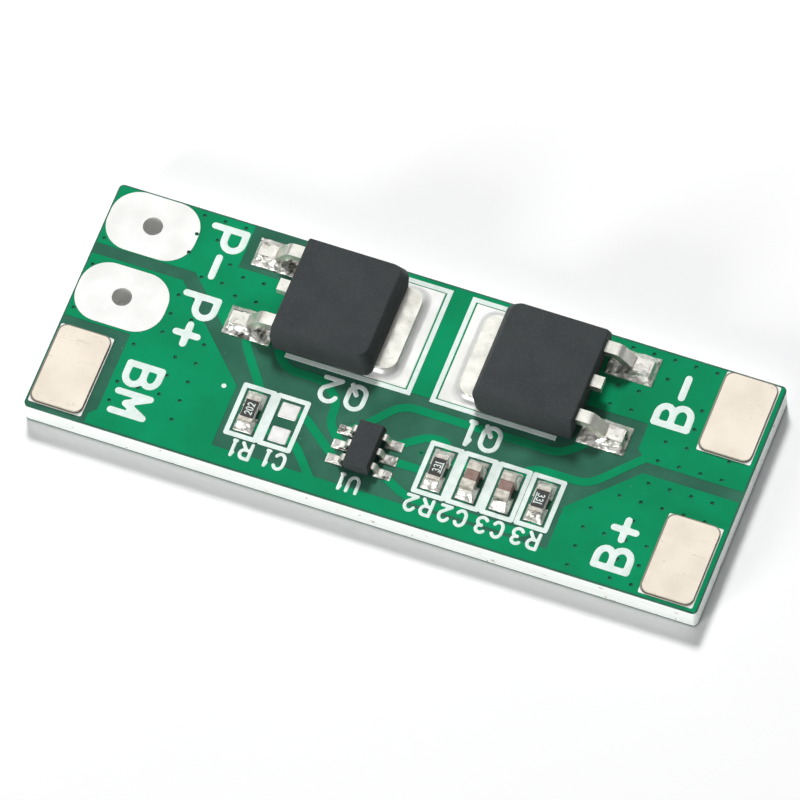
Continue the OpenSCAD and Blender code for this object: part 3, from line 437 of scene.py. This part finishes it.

# %% [markdown]
# Reflowed solder is the same metal but rougher: it froze in ripples, with thin dark streaks winding over it.

# %% Finish: solder
tree, shader = start_finish("solder", 0.35, metallic=0.6)
melt, cloudy = add_patches(tree, (0.92, 0.90, 0.85), (0.68, 0.66, 0.60), 1400, 4)
# Thin near-black streaks, laid by noise over the whole surface.
dark_streaks = add_streaks(tree, 1100, 0.05, (0.45, 1, 1))
paint(tree, shader, blend(tree, dark_streaks, melt, (0.07, 0.06, 0.05)))
vary_roughness(tree, shader, cloudy, 0.45, 0.28)
add_bump(tree, shader, 1800, 30, 3)

# %% [markdown]
# Nickel strip is rolled: warm, satin and nearly even, with faint cloudiness, and a scratch or a pit here
# and there. Below a set height at the foot of each tab the finish is painted nearly black, as painted shadow
# round the tab's edge.

# %% Finish: nickel
TAB_FOOT_SHADE = (1.675 * MM, 1.70 * MM)
tree, shader = start_finish("nickel", 0.42, metallic=0.35, specular=0.2)
strip, cloudy = add_patches(tree, (0.90, 0.815, 0.695), (0.84, 0.755, 0.635), 450, 4)
scratched = blend(tree, add_streaks(tree, 500, 0.003, (0.3, 2.0, 1)), strip, (0.6, 0.53, 0.45))
pitted = add_specks(tree, scratched, 0.11, 1, 0.76, 0.80, (0.42, 0.36, 0.30))
# Painted shadow: below the tab's foot height the colour is nearly black.
paint(tree, shader, blend(tree, board_height(tree, *TAB_FOOT_SHADE), (0.10, 0.085, 0.07), pitted))
vary_roughness(tree, shader, cloudy, 0.48, 0.38)
add_bump(tree, shader, 4000, 2)

# %% [markdown]
# Moulding compound is epoxy full of ground glass: dark blue-grey, matt, with a fine pepper of light grains.

# %% Finish: mould compound
tree, shader = start_finish("mould_compound", 0.62, specular=0.25)
resin, cloudy = add_patches(tree, (0.047, 0.053, 0.055), (0.038, 0.043, 0.045), 700)
paint(tree, shader, add_specks(tree, resin, 0.035, 1, 0.66, 0.78, (0.16, 0.17, 0.18)))
vary_roughness(tree, shader, cloudy, 0.6, 0.72)
add_bump(tree, shader, 22000, 8)

# %% [markdown]
# The lead frame is copper plated with tin, stamped and bent: satin metal, scuffed where the tools held it.

# %% Finish: lead frame
tree, shader = start_finish("lead_frame", 0.33, metallic=0.85)
plate, cloudy = add_patches(tree, (0.90, 0.89, 0.82), (0.74, 0.73, 0.66), 1100, 4)
paint(tree, shader, add_specks(tree, plate, 0.14, 3, 0.64, 0.74, (0.52, 0.44, 0.34)))
vary_roughness(tree, shader, cloudy, 0.42, 0.28)
add_bump(tree, shader, 5000, 8)

# %% [markdown]
# Chip terminals are tin over nickel, duller than the leads, with a grainy fired surface.

# %% Finish: terminal
tree, shader = start_finish("terminal", 0.4, metallic=0.8)
cap, cloudy = add_patches(tree, (0.72, 0.68, 0.60), (0.50, 0.47, 0.41), 3500)
paint(tree, shader, cap)
vary_roughness(tree, shader, cloudy, 0.5, 0.32)
add_bump(tree, shader, 14000, 8)

# %% [markdown]
# A chip resistor has black glass over its element and white alumina below. A chip capacitor is one block
# of fired ceramic, pinkish brown, slightly waxy.

# %% Finishes: resistor glaze and ceramics
for name, roughness, specular, light, dark, per_metre, detail, grains, height in (
        ("resistor_glaze", 0.3, 0.5, (0.035, 0.034, 0.033), (0.022, 0.021, 0.022), 4000, 3, 6000, 4),
        ("resistor_ceramic", 0.6, 0.3, (0.80, 0.79, 0.74), (0.70, 0.69, 0.64), 5000, 3, 20000, 6),
        ("capacitor_ceramic", 0.45, 0.4, (0.32, 0.215, 0.185), (0.24, 0.155, 0.130), 3500, 4, 16000, 6)):
    tree, shader = start_finish(name, roughness, specular=specular)
    paint(tree, shader, add_patches(tree, light, dark, per_metre, detail)[0])
    add_bump(tree, shader, grains, height)
print("finishes:", sorted(finishes))

# %% [markdown]
# Each CAD node already names the finish that it wants, so one loop dresses them all.

# %% Dress the CAD nodes
finish_of = {part["node"]: part["material_slot"] for part in frame["record"]["subparts"]}
for name, part in nodes.items():
    part.data.materials.clear()
    part.data.materials.append(finishes[finish_of[name]])
print("dressed", len(finish_of), "nodes")

# %% [markdown]
# The pieces that follow are modelled in this file. Each starts as a primitive at its size and place, is
# shaped in edit mode, and ends as a mesh in the board's own coordinates. The helpers below find a CAD
# node's box, so that a new piece takes its place from the solid that it stands for.

# %% Helpers for modelling
HAIR = 0.001 * MM
SMOOTH_ANGLE = math.radians(40)


def limits(corners):
    """The lowest and the highest corner of the box round some places."""
    return tuple(Vector(end(corner[axis] for corner in corners) for axis in range(3)) for end in (min, max))


def box_of(name):
    return limits([nodes[name].matrix_world @ Vector(corner) for corner in nodes[name].bound_box])


def box_of_piece(piece):
    return limits([corner.co for corner in piece.data.vertices])


def choose(*pieces):
    """Selects only these pieces, in object mode, and makes the first one active."""
    if bpy.context.object:
        bpy.ops.object.mode_set(mode="OBJECT")
    for chosen in bpy.context.selected_objects:
        chosen.select_set(False)
    for piece in pieces:
        piece.select_set(True)
    bpy.context.view_layer.objects.active = pieces[0]


def add_block(name, low, high):
    """A cube stretched from low to high, with its place in the mesh, left in object mode."""
    middle = (low + high) / 2
    bpy.ops.mesh.primitive_cube_add(size=1, location=middle)
    block = bpy.context.active_object
    block.name = name
    bpy.ops.object.mode_set(mode="EDIT")
    bpy.ops.transform.resize(value=high - low, center_override=middle)
    bpy.ops.object.mode_set(mode="OBJECT")
    bpy.ops.object.transform_apply(location=True, rotation=True, scale=True)
    return block


def pick(piece, kind, test):
    """Enters edit mode with those vertices, edges or faces selected whose every corner passes the test."""
    bpy.ops.object.mode_set(mode="OBJECT")
    mesh = piece.data
    bpy.context.tool_settings.mesh_select_mode = [kind == each for each in ("VERT", "EDGE", "FACE")]
    good = [test(corner.co) for corner in mesh.vertices]
    for group in (mesh.vertices, mesh.edges, mesh.polygons):
        group.foreach_set("select", [False] * len(group))
    if kind == "VERT":
        mesh.vertices.foreach_set("select", good)
    else:
        for item in mesh.edges if kind == "EDGE" else mesh.polygons:
            item.select = all(good[corner] for corner in item.vertices)
    bpy.ops.object.mode_set(mode="EDIT")


def cut_level(piece, height):
    """Adds a ring of edges round the piece at one height."""
    pick(piece, "FACE", lambda corner: True)
    bpy.ops.mesh.bisect(plane_co=(0, 0, height), plane_no=(0, 0, 1))


def round_corners(piece, left, right, segments=6):
    """Rounds the upright edges of a block, by one radius on its left and one on its right."""
    low, high = box_of_piece(piece)
    middle = (low + high) / 2
    for side, radius in ((-1, left), (1, right)):
        for end in (-1, 1):
            pick(piece, "EDGE", lambda corner: (corner.x - middle.x) * side > 0
                 and (corner.y - middle.y) * end > 0)
            bpy.ops.mesh.bevel(offset=radius, segments=segments, affect="EDGES")
    bpy.ops.object.mode_set(mode="OBJECT")


def apply_modifier(piece, kind, **settings):
    choose(piece)
    modifier = piece.modifiers.new(kind.lower(), kind)
    for setting, value in settings.items():
        setattr(modifier, setting, value)
    bpy.ops.object.modifier_apply(modifier=modifier.name)


def finish_piece(piece, slot, stands_for=None):
    """Smooths the piece, gives it its finish, and lets it ride on the board."""
    choose(piece)
    bpy.ops.object.shade_smooth_by_angle(angle=SMOOTH_ANGLE)
    piece.data.materials.clear()
    piece.data.materials.append(finishes[slot])
    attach(piece, "root")
    if stands_for:
        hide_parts(stands_for)
    print(piece.name, "triangles:", sum(len(face.vertices) - 2 for face in piece.data.polygons))


# %% [markdown]
# The two switches and the control chip are moulded between two steel halves. The halves meet at the level
# of the leads, and each half slopes, so that the body comes out of its cavity. Each body starts as a block
# that is cut at the parting level; its top and bottom are then drawn in, its corners rounded, and the rim
# of the top broken slightly, as real ones are. The CAD solids have the same form with sharp rims.

# %% Moulded bodies
FET_PARTING = 1.25 * MM
FET_TAB, FET_LEAD = (0.40 * MM, 0.55 * MM), (0.06 * MM, 0.15 * MM)  # draft and corner of those two sides
FET_SIDE_DRAFT, FET_LOWER_DRAFT = 0.26 * MM, 0.10 * MM
FET_RIM = 0.07 * MM
CHIP_PARTING = 0.58 * MM
CHIP_SIDE = (0.1 * MM, 0.05 * MM)
CHIP_DRAFT = 0.1 * MM
CHIP_RIM = 0.05 * MM
CORNER_STEPS, RIM_STEPS = 8, 3


def draw_in(piece, height, left, right, sides):
    """Draws the ring of corners at one height in by the given distances."""
    low, high = box_of_piece(piece)
    middle, size = (low + high) / 2, high - low
    pick(piece, "VERT", lambda corner: abs(corner.z - height) < HAIR)
    bpy.ops.transform.resize(value=(1 - (left + right) / size.x, 1 - 2 * sides / size.y, 1),
                             center_override=middle)
    bpy.ops.transform.translate(value=((left - right) / 2, 0, 0))


def moulded_body(node_name, parting, left, right, sides, lower, rim):
    """Left and right are each a draft and a corner radius; sides and lower are drafts."""
    low, high = box_of(node_name)
    body = add_block(node_name + "_moulded", low, high)
    cut_level(body, low.z + parting)
    draw_in(body, high.z, left[0], right[0], sides)
    draw_in(body, low.z, lower, lower, lower)
    round_corners(body, left[1], right[1], CORNER_STEPS)
    pick(body, "EDGE", lambda corner: corner.z > high.z - HAIR)
    bpy.ops.mesh.bevel(offset=rim, segments=RIM_STEPS, affect="EDGES")
    finish_piece(body, "mould_compound", node_name)


moulded_body("q1_body", FET_PARTING, FET_TAB, FET_LEAD, FET_SIDE_DRAFT, FET_LOWER_DRAFT, FET_RIM)
moulded_body("q2_body", FET_PARTING, FET_LEAD, FET_TAB, FET_SIDE_DRAFT, FET_LOWER_DRAFT, FET_RIM)
moulded_body("u1_body", CHIP_PARTING, CHIP_SIDE, CHIP_SIDE, CHIP_DRAFT, CHIP_DRAFT, CHIP_RIM)

# %% [markdown]
# The legend is screen-printed in strokes of even width with round ends: the polarity beside each pad, the
# number of each part, and a plain three-digit code on each resistor. A font would give strokes of uneven
# width, so each letter is a few lines and arcs in a cell of width 1 and height 1, drawn by a curve with a
# round section. The curve becomes a mesh, a remesh melts its crossing strokes into one skin, and the whole
# is squashed to the thickness of ink.

# %% Letter shapes
ARC_STEPS = 10
BOWL_ROUND = 0.45


def arc(centre, radii, first, last):
    """Points round an ellipse; the angles are in degrees, from the right and turning left."""
    angles = [math.radians(first + (last - first) * step / ARC_STEPS) for step in range(ARC_STEPS + 1)]
    return [(centre[0] + radii[0] * math.cos(angle), centre[1] + radii[1] * math.sin(angle))
            for angle in angles]


def bowl(high, low, reach):
    """A stroke that leaves the stem, turns and comes back to it lower down."""
    half = (high - low) / 2
    return [(0, high)] + arc((reach - BOWL_ROUND, high - half), (BOWL_ROUND, half), 90, -90) + [(0, low)]


STEM = [(0, 0), (0, 1)]
RING = arc((0.5, 0.69), (0.5, 0.31), 0, 180) + arc((0.5, 0.31), (0.5, 0.31), 180, 360)
LETTERS = {
    "B": [STEM, bowl(1, 0.53, 0.9), bowl(0.53, 0, 1)],
    "C": [arc((0.5, 0.62), (0.5, 0.38), 30, 180) + arc((0.5, 0.38), (0.5, 0.38), 180, 330)],
    "M": [STEM, [(0, 1), (0.5, 0.35)], [(0.5, 0.35), (1, 1)], [(1, 1), (1, 0)]],
    "P": [STEM, bowl(1, 0.42, 1)],
    "Q": [RING + RING[:1], [(0.55, 0.38), (0.95, 0)]],
    "R": [STEM, bowl(1, 0.42, 1), [(0.45, 0.42), (1, 0)]],
    "U": [[(0, 1)] + arc((0.5, 0.38), (0.5, 0.38), 180, 360) + [(1, 1)]],
    "0": [RING + RING[:1]],
    "1": [[(0.5, 0), (0.5, 1)], [(0.1, 0), (0.9, 0)], [(0.5, 1), (0.1, 0.78)]],
    "2": [arc((0.5, 0.66), (0.5, 0.34), 160, -35) + [(0, 0)], [(0, 0), (1, 0)]],
    "3": [arc((0.5, 0.76), (0.45, 0.24), 150, -90), arc((0.5, 0.27), (0.5, 0.27), 90, -150)],
    "+": [[(0, 0.5), (1, 0.5)], [(0.5, 0.17), (0.5, 0.83)]],
    "-": [[(0, 0.5), (1, 0.5)]],
}
NARROW = {"1": 0.5}
STROKE_CELLS = 9
END_STEPS = 6


def add_stroke(curve, line, radius):
    """A stroke of a letter. It runs on by its radius at each end while it thins, so its ends are round."""
    angles = [math.radians(90 * step / END_STEPS) for step in range(1, END_STEPS + 1)]
    thinning = [(math.sin(angle), math.cos(angle)) for angle in angles]
    start, end = (line[0] - line[1]).normalized(), (line[-1] - line[-2]).normalized()
    places = [(line[0] + start * radius * reach, left) for reach, left in reversed(thinning)]
    places += [(place, 1) for place in line]
    places += [(line[-1] + end * radius * reach, left) for reach, left in thinning]
    stroke = curve.splines.new("POLY")
    stroke.points.add(len(places) - 1)
    for point, (place, thickness) in zip(stroke.points, places):
        point.co = (*place, 0, 1)
        point.radius = thickness


def print_word(name, text, middle, sizes, reads, level, ink_height, barred=False):
    """Prints a word round its middle. The sizes are a letter's height and width, the gap and the stroke."""
    height, width, gap, stroke = sizes
    curve = bpy.data.curves.new(name, "CURVE")
    curve.dimensions = "3D"
    curve.bevel_depth = stroke / 2
    curve.bevel_resolution = 3
    widths = [width * NARROW.get(letter, 1) for letter in text]
    length = sum(widths) + gap * (len(text) - 1)
    across = Vector(reads)
    upwards = Vector((-across.y, across.x))
    at = -length / 2
    for letter, letter_width in zip(text, widths):
        for line in LETTERS[letter]:
            places = [middle + across * (at + stroke / 2 + x * (letter_width - stroke))
                      + upwards * (stroke / 2 - height / 2 + y * (height - stroke)) for x, y in line]
            add_stroke(curve, places, stroke / 2)
        at += letter_width + gap
    if barred:
        foot = middle - upwards * (height / 2 + gap)
        add_stroke(curve, [foot - across * length / 2, foot + across * length / 2], stroke / 2)
    word = bpy.data.objects.new(name, curve)
    bpy.context.scene.collection.objects.link(word)
    choose(word)
    bpy.ops.object.convert(target="MESH")
    word = bpy.context.active_object
    apply_modifier(word, "REMESH", mode="VOXEL", voxel_size=stroke / STROKE_CELLS)
    pick(word, "VERT", lambda corner: True)
    bpy.ops.transform.resize(value=(1, 1, 2 * ink_height / stroke), center_override=(0, 0, 0))
    bpy.ops.transform.translate(value=(0, 0, level))
    finish_piece(word, "legend")


print("letters:", "".join(LETTERS))

# %% [markdown]
# The large words name the pads and the cell tabs. Those at the output end read towards the front edge,
# those at the cell end towards the back edge, so that each can be read from its own end of the board.

# %% Print the polarity marks
BOARD_TOP = box_of("top_solder_mask")[1].z
INK = 0.02 * MM
TO_FRONT, TO_BACK, TO_LEFT = (0, -1), (0, 1), (-1, 0)
MARK_SIZES = 2.32 * MM, 1.68 * MM, 0.19 * MM, 0.42 * MM
for name, text, x, y, reads in (("mark_p_minus", "P-", -12.98, 5.15, TO_FRONT),
                                ("mark_p_plus", "P+", -12.95, 0.62, TO_FRONT),
                                ("mark_bm", "BM", -14.30, -4.59, TO_FRONT),
                                ("mark_b_minus", "B-", 14.62, 4.65, TO_BACK),
                                ("mark_b_plus", "B+", 14.52, -4.80, TO_BACK)):
    print_word(name, text, Vector((x, y)) * MM, MARK_SIZES, reads, BOARD_TOP, INK)

# %% [markdown]
# The small words number the parts, and each stands in front of its part. They are all upside down to a
# reader at the front edge, because the board is laid out to be read from the back.

# %% Print the part numbers
ROW_WORD_Y = -6.17 * MM
FET_WORD_Y = -1.0 * MM
SMALL_SIZES = 1.16 * MM, 0.76 * MM, 0.18 * MM, 0.21 * MM
LARGE_SIZES = 1.75 * MM, 1.25 * MM, 0.30 * MM, 0.29 * MM
SMALL_WORDS = {"R1": -7.42, "C1": -5.42, "U1": -1.00, "R2": 3.15, "C2": 5.17, "C3": 7.35, "R3": 9.47}
LARGE_WORDS = {"Q2": -3.30, "Q1": 5.02}
for words, y, sizes in ((SMALL_WORDS, ROW_WORD_Y, SMALL_SIZES), (LARGE_WORDS, FET_WORD_Y, LARGE_SIZES)):
    for text, x in words.items():
        print_word("number_" + text.lower(), text, Vector((x * MM, y)), sizes, TO_LEFT, BOARD_TOP, INK)

# %% [markdown]
# A chip resistor carries its value in three digits: two figures and the number of noughts after them. They
# read along the chip. One series has a bar below its code. The machine places resistors either way round,
# so one of the codes reads the other way.

# %% Print the resistor codes
CODE_SIZES = 0.46 * MM, 0.22 * MM, 0.05 * MM, 0.06 * MM
CODE_INK = 0.008 * MM
for name, text, reads, barred in (("r1_glaze", "202", TO_BACK, False), ("r2_glaze", "331", TO_BACK, True),
                                  ("r3_glaze", "331", TO_FRONT, True)):
    low, high = box_of(name)
    middle = Vector(((low.x + high.x) / 2, (low.y + high.y) / 2))
    print_word("code_on_" + name, text, middle, CODE_SIZES, reads, high.z, CODE_INK, barred)

# %% [markdown]
# Solder wets the whole pad, climbs the metal that stands in it and freezes in a smooth hollow curve, with
# small lumps where it cooled. Each pool is a flat slab that fills its window in the mask, and a fillet on
# it. The fillet starts as a block whose corners are rounded; its rings of edges are drawn in, fast at first
# and then less and less, which gives the hollow curve. A remesh melts the two together, a smoothing rounds
# them, and a cloud pattern lifts them in lumps. The lumps only move the skin up and down, so that the pool
# still fills its window. The straight-sided solids of the CAD model stay behind it for collision, hidden.

# %% Solder pools
SEAT = box_of("p_minus_pad")[1].z
RING_STEPS = 6
SLAB_DEPTH = 0.12 * MM
MELT_ROUNDS = 3
LUMP_MIDDLE = 0.35
lumps = bpy.data.textures.new("solder_lumps", "CLOUDS")
lumps.noise_depth = 2


def join_pieces(pieces, name):
    """Makes one object of several and gives it the name."""
    choose(*pieces)
    bpy.ops.object.join()
    pieces[0].name = name
    return pieces[0]


def solder_pool(name, pad_low, pad_high, crown_low, crown_high, reach, corner, grain, lump_size, lump_height,
                hollow=0.5):
    """A slab over a pad's box, with a fillet that narrows by its reach up to the crown."""
    spread = Vector((grain, grain, 0)) / 2
    slab = add_block(name, pad_low - spread - Vector((0, 0, SLAB_DEPTH)),
                     Vector((*pad_high.xy, SEAT)) + spread)
    foot_low = Vector((max(crown_low.x - reach, pad_low.x), max(crown_low.y - reach, pad_low.y),
                       SEAT - SLAB_DEPTH))
    foot_high = Vector((min(crown_high.x + reach, pad_high.x), min(crown_high.y + reach, pad_high.y),
                        crown_high.z))
    fillet = add_block(name + "_fillet", foot_low, foot_high)
    round_corners(fillet, corner, corner)
    foot_size, crown_size = (foot_high - foot_low).xy, (crown_high - crown_low).xy
    foot_middle, crown_middle = ((foot_high + foot_low) / 2).xy, ((crown_high + crown_low) / 2).xy
    rises = [step / RING_STEPS for step in range(RING_STEPS + 1)]
    for rise in rises[:-1]:
        cut_level(fillet, SEAT + rise * (crown_high.z - SEAT))
    for rise in rises[1:]:
        height = SEAT + rise * (crown_high.z - SEAT)
        share = rise ** hollow
        size = foot_size.lerp(crown_size, share)
        pick(fillet, "VERT", lambda corner: abs(corner.z - height) < HAIR)
        bpy.ops.transform.resize(value=(size.x / foot_size.x, size.y / foot_size.y, 1),
                                 center_override=(*foot_middle, height))
        bpy.ops.transform.translate(value=(*((crown_middle - foot_middle) * share), 0))
    bpy.ops.object.mode_set(mode="OBJECT")
    pool = join_pieces([slab, fillet], name)
    apply_modifier(pool, "REMESH", mode="VOXEL", voxel_size=grain)
    apply_modifier(pool, "SMOOTH", factor=0.5, iterations=MELT_ROUNDS)
    lumps.noise_scale = lump_size
    apply_modifier(pool, "DISPLACE", texture=lumps, texture_coords="LOCAL", direction="Z",
                   strength=lump_height, mid_level=LUMP_MIDDLE)
    return pool


print("solder stands", round((SEAT - BOARD_TOP) / MICRON), "micrometres above the mask")

# %% [markdown]
# A switch's two leads each stand in a long pool. The pool is widest on the board and climbs the sides of
# the lead's foot nearly to its top; its crown therefore takes its place from the foot.

# %% Solder round the switches' leads
FOOT_LENGTH = 1.15 * MM
FOOT_SIDE = 0.10 * MM
LEAD_RISE = 0.44 * MM
for name in ("q1_gate", "q1_source", "q2_gate", "q2_source"):
    pad_low, pad_high = box_of(name + "_solder")
    lead_low, lead_high = box_of(name + "_lead")
    foot = ((lead_low.x, lead_low.x + FOOT_LENGTH) if name.startswith("q2")
            else (lead_high.x - FOOT_LENGTH, lead_high.x))
    pool = solder_pool(name + "_pool", pad_low, pad_high,
                       Vector((foot[0], lead_low.y - FOOT_SIDE, 0)),
                       Vector((foot[1], lead_high.y + FOOT_SIDE, SEAT + LEAD_RISE)),
                       reach=1.2 * MM, corner=0.15 * MM, grain=0.05 * MM, lump_size=0.5 * MM,
                       lump_height=0.24 * MM)
    finish_piece(pool, "solder", name + "_solder")

# %% [markdown]
# The drain tab is soldered flat over its whole underside. Round its free edge the pad shows as a bright
# flat rim, with a narrow hollow curve where the tin climbs the tab.

# %% Solder round the drain tabs
TAB_RISE = 0.34 * MM
UNDER_BODY = 1.6 * MM
for name in ("q1_drain", "q2_drain"):
    pad_low, pad_high = box_of(name + "_solder")
    tab_low, tab_high = box_of(name + "_tab")
    body_low, body_high = box_of(name[:2] + "_body")
    crown_low = Vector((tab_low.x, tab_low.y, 0))
    crown_high = Vector((tab_high.x, tab_high.y, SEAT + TAB_RISE))
    if name.startswith("q1"):
        crown_high.x = body_high.x - UNDER_BODY
    else:
        crown_low.x = body_low.x + UNDER_BODY
    pool = solder_pool(name + "_pool", pad_low, pad_high, crown_low, crown_high,
                       reach=0.42 * MM, corner=0.8 * MM, grain=0.06 * MM, lump_size=1.2 * MM,
                       lump_height=0.05 * MM)
    finish_piece(pool, "tinned_pad", name + "_solder")

# %% [markdown]
# Each chip resistor and capacitor stands in two short pools that climb its end terminals. The pools are
# modelled one by one, since the lumps differ, and then joined, as the CAD model counts them as one piece.

# %% Solder at the chip parts
PART_TOE = 0.10 * MM
PART_PAD_LENGTH = 1.0 * MM
PART_RISE = {"r": 0.34 * MM, "c": 0.5 * MM}
for name in ("r1", "r2", "r3", "c2", "c3"):
    low, high = box_of(name + "_solder")
    part_low, part_high = box_of(name + "_terminals")
    pools = []
    for end, edge, part_end in ((-1, low.y, part_low.y), (1, high.y, part_high.y)):
        near, far = sorted((edge, edge - end * PART_PAD_LENGTH))
        crown = sorted((part_end + end * PART_TOE, part_end - end * PART_TOE))
        pools.append(solder_pool(name + "_end", Vector((low.x, near, low.z)), Vector((high.x, far, SEAT)),
                                 Vector((part_low.x, crown[0], 0)),
                                 Vector((part_high.x, crown[1], SEAT + PART_RISE[name[0]])),
                                 reach=0.5 * MM, corner=0.1 * MM, grain=0.035 * MM, lump_size=0.4 * MM,
                                 lump_height=0.14 * MM, hollow=0.7))
    finish_piece(join_pieces(pools, name + "_pools"), "solder", name + "_solder")

# %% [markdown]
# The control chip's six feet stand on narrow pads that run out well beyond them.

# %% Solder at the control chip
CHIP_PITCH = 0.95 * MM
CHIP_PAD = Vector((1.0, 0.56)) * MM
CHIP_FOOT = Vector((0.3, 0.4)) * MM
CHIP_TOE = 0.04 * MM
CHIP_RISE = 0.16 * MM
low, high = box_of("u1_solder")
lead_low, lead_high = box_of("u1_leads")
middle = (low + high) / 2
pools = []
for side, edge, tip in ((-1, low.x, lead_low.x), (1, high.x, lead_high.x)):
    for row in (-1, 0, 1):
        y = middle.y + row * CHIP_PITCH
        across = sorted((edge, edge - side * CHIP_PAD.x))
        foot = sorted((tip + side * CHIP_TOE, tip - side * CHIP_FOOT.x))
        pools.append(solder_pool("u1_end", Vector((across[0], y - CHIP_PAD.y / 2, low.z)),
                                 Vector((across[1], y + CHIP_PAD.y / 2, SEAT)),
                                 Vector((foot[0], y - CHIP_FOOT.y / 2, 0)),
                                 Vector((foot[1], y + CHIP_FOOT.y / 2, SEAT + CHIP_RISE)),
                                 reach=0.4 * MM, corner=0.05 * MM, grain=0.03 * MM, lump_size=0.3 * MM,
                                 lump_height=0.07 * MM))
finish_piece(join_pieces(pools, "u1_pools"), "solder", "u1_solder")

# %% [markdown]
# One place was left empty when the board was made: its two pads carry only a cushion of tin, thicker in
# the middle, as tin draws itself together on a flat pad.

# %% Tin on the empty place's pads
CUSHION = 0.045 * MM
CUSHION_SIDE = 0.24 * MM
CUSHION_ROUNDS = 45
low, high = box_of("c1_bare_pads")
pools = []
for end, edge in ((-1, low.y), (1, high.y)):
    near, far = sorted((edge, edge - end * PART_PAD_LENGTH))
    pools.append(solder_pool("c1_end", Vector((low.x, near, low.z)), Vector((high.x, far, SEAT)),
                             Vector((low.x + CUSHION_SIDE, near + CUSHION_SIDE, 0)),
                             Vector((high.x - CUSHION_SIDE, far - CUSHION_SIDE, SEAT + CUSHION)),
                             reach=CUSHION_SIDE, corner=0.2 * MM, grain=0.035 * MM, lump_size=0.5 * MM,
                             lump_height=0.03 * MM, hollow=1))
cushions = join_pieces(pools, "c1_pools")
apply_modifier(cushions, "SMOOTH", factor=0.5, iterations=CUSHION_ROUNDS)
finish_piece(cushions, "tinned_pad", "c1_bare_pads")

# %% [markdown]
# The mask goes on wet and runs a little way into each via, where it dries as a sagging skin. One small
# dished disc is copied into every barrel; the places are read from the barrels themselves.

# %% Lacquer in the vias
SKIN_DEPTH = 0.03 * MM
SKIN_SAG = 0.05 * MM
SKIN = 0.2 * MM
SKIN_RADIUS = 0.125 * MM
SKIN_SIDES = 18
VIA_REACH = 0.5 * MM
barrels = nodes["via_barrels"]
rims = []
for corner in barrels.data.vertices:
    place = (barrels.matrix_world @ corner.co).xy
    for rim in rims:
        if (rim[0] - place).length < VIA_REACH:
            rim.append(place)
            break
    else:
        rims.append([place])
skin_top = BOARD_TOP - SKIN_DEPTH
bpy.ops.mesh.primitive_cylinder_add(vertices=SKIN_SIDES, radius=SKIN_RADIUS, depth=SKIN,
                                    location=(0, 0, skin_top - SKIN / 2))
pattern = bpy.context.active_object
bpy.ops.object.transform_apply(location=True, rotation=False, scale=False)
pick(pattern, "FACE", lambda corner: corner.z > skin_top - SKIN / 2)
bpy.ops.mesh.inset(thickness=SKIN_RADIUS / 2)
bpy.ops.transform.translate(value=(0, 0, -SKIN_SAG))
bpy.ops.object.mode_set(mode="OBJECT")
skins = []
for rim in rims:
    middle = [(min(place[axis] for place in rim) + max(place[axis] for place in rim)) / 2 for axis in (0, 1)]
    skin = pattern.copy()
    skin.data = pattern.data.copy()
    skin.data.transform(Matrix.Translation((*middle, 0)))
    bpy.context.scene.collection.objects.link(skin)
    skins.append(skin)
bpy.data.objects.remove(pattern)
# The skins take the copper finish, whose dark green is partly painted shade.
finish_piece(join_pieces(skins, "via_lacquer"), "copper")
print(len(rims), "vias")

# %% [markdown]
# Where two printed outlines lie a hair apart the wet ink has run together. Each run is a flat strip of ink
# over the gap.

# %% Ink between neighbouring outlines
OUTLINE_LENGTH = 3.3 * MM
RUN_WIDTH = 0.09 * MM
RUN_HEIGHT = 0.9 * INK
row_y = sum(corner.y for corner in box_of("r1_terminals")) / 2
for name, first, second in (("ink_run_r1_c1", "r1_terminals", "c1_bare_pads"),
                            ("ink_run_r2_c2", "r2_terminals", "c2_terminals"),
                            ("ink_run_c2_c3", "c2_terminals", "c3_terminals")):
    gap_x = sum(corner.x for corner in (*box_of(first), *box_of(second))) / 4
    run = add_block(name, Vector((gap_x - RUN_WIDTH / 2, row_y - OUTLINE_LENGTH / 2, BOARD_TOP - INK)),
                    Vector((gap_x + RUN_WIDTH / 2, row_y + OUTLINE_LENGTH / 2, BOARD_TOP + RUN_HEIGHT)))
    round_corners(run, RUN_WIDTH / 3, RUN_WIDTH / 3, segments=3)
    finish_piece(run, "legend")

# %% [markdown]
# A thin dark line round the foot of each nickel tab is painted shadow. The line is a low slab, a hair wider
# than the tab and wider yet on two sides, of which only the rim shows; the nickel finish is painted dark at
# that height.

# %% Painted shadow line round the nickel tabs
SHADOW_LINE_REACH = 0.045 * MM
SHADOW_LINE_SPREAD = 0.085 * MM
SHADOW_LINE_TOP = 0.05 * MM
SHADOW_LINE_SINK = 0.04 * MM
TAB_CORNER = 0.45 * MM
for name in ("b_minus", "b_plus", "bm"):
    low, high = box_of(name + "_tab")
    # A dark slab at the tab's foot stands in for the tab's shadow.
    line = add_block(name + "_painted_shadow",
                     low - Vector((SHADOW_LINE_REACH + SHADOW_LINE_SPREAD, SHADOW_LINE_REACH, SHADOW_LINE_SINK)),
                     Vector((high.x + SHADOW_LINE_REACH, high.y + SHADOW_LINE_REACH + SHADOW_LINE_SPREAD, low.z + SHADOW_LINE_TOP)))
    round_corners(line, TAB_CORNER + SHADOW_LINE_REACH, TAB_CORNER + SHADOW_LINE_REACH)
    finish_piece(line, "nickel")

# %% [markdown]
# The floor gets a finish too: pale, matt paper, so faintly mottled that it reads as plain.

# %% Finish: floor
tree, shader = start_finish("floor_paper", 0.9, specular=0.1)
paint(tree, shader, add_patches(tree, (0.99, 0.99, 0.99), (0.98, 0.98, 0.985), 30, 2)[0])
floor.data.materials.append(finishes["floor_paper"])
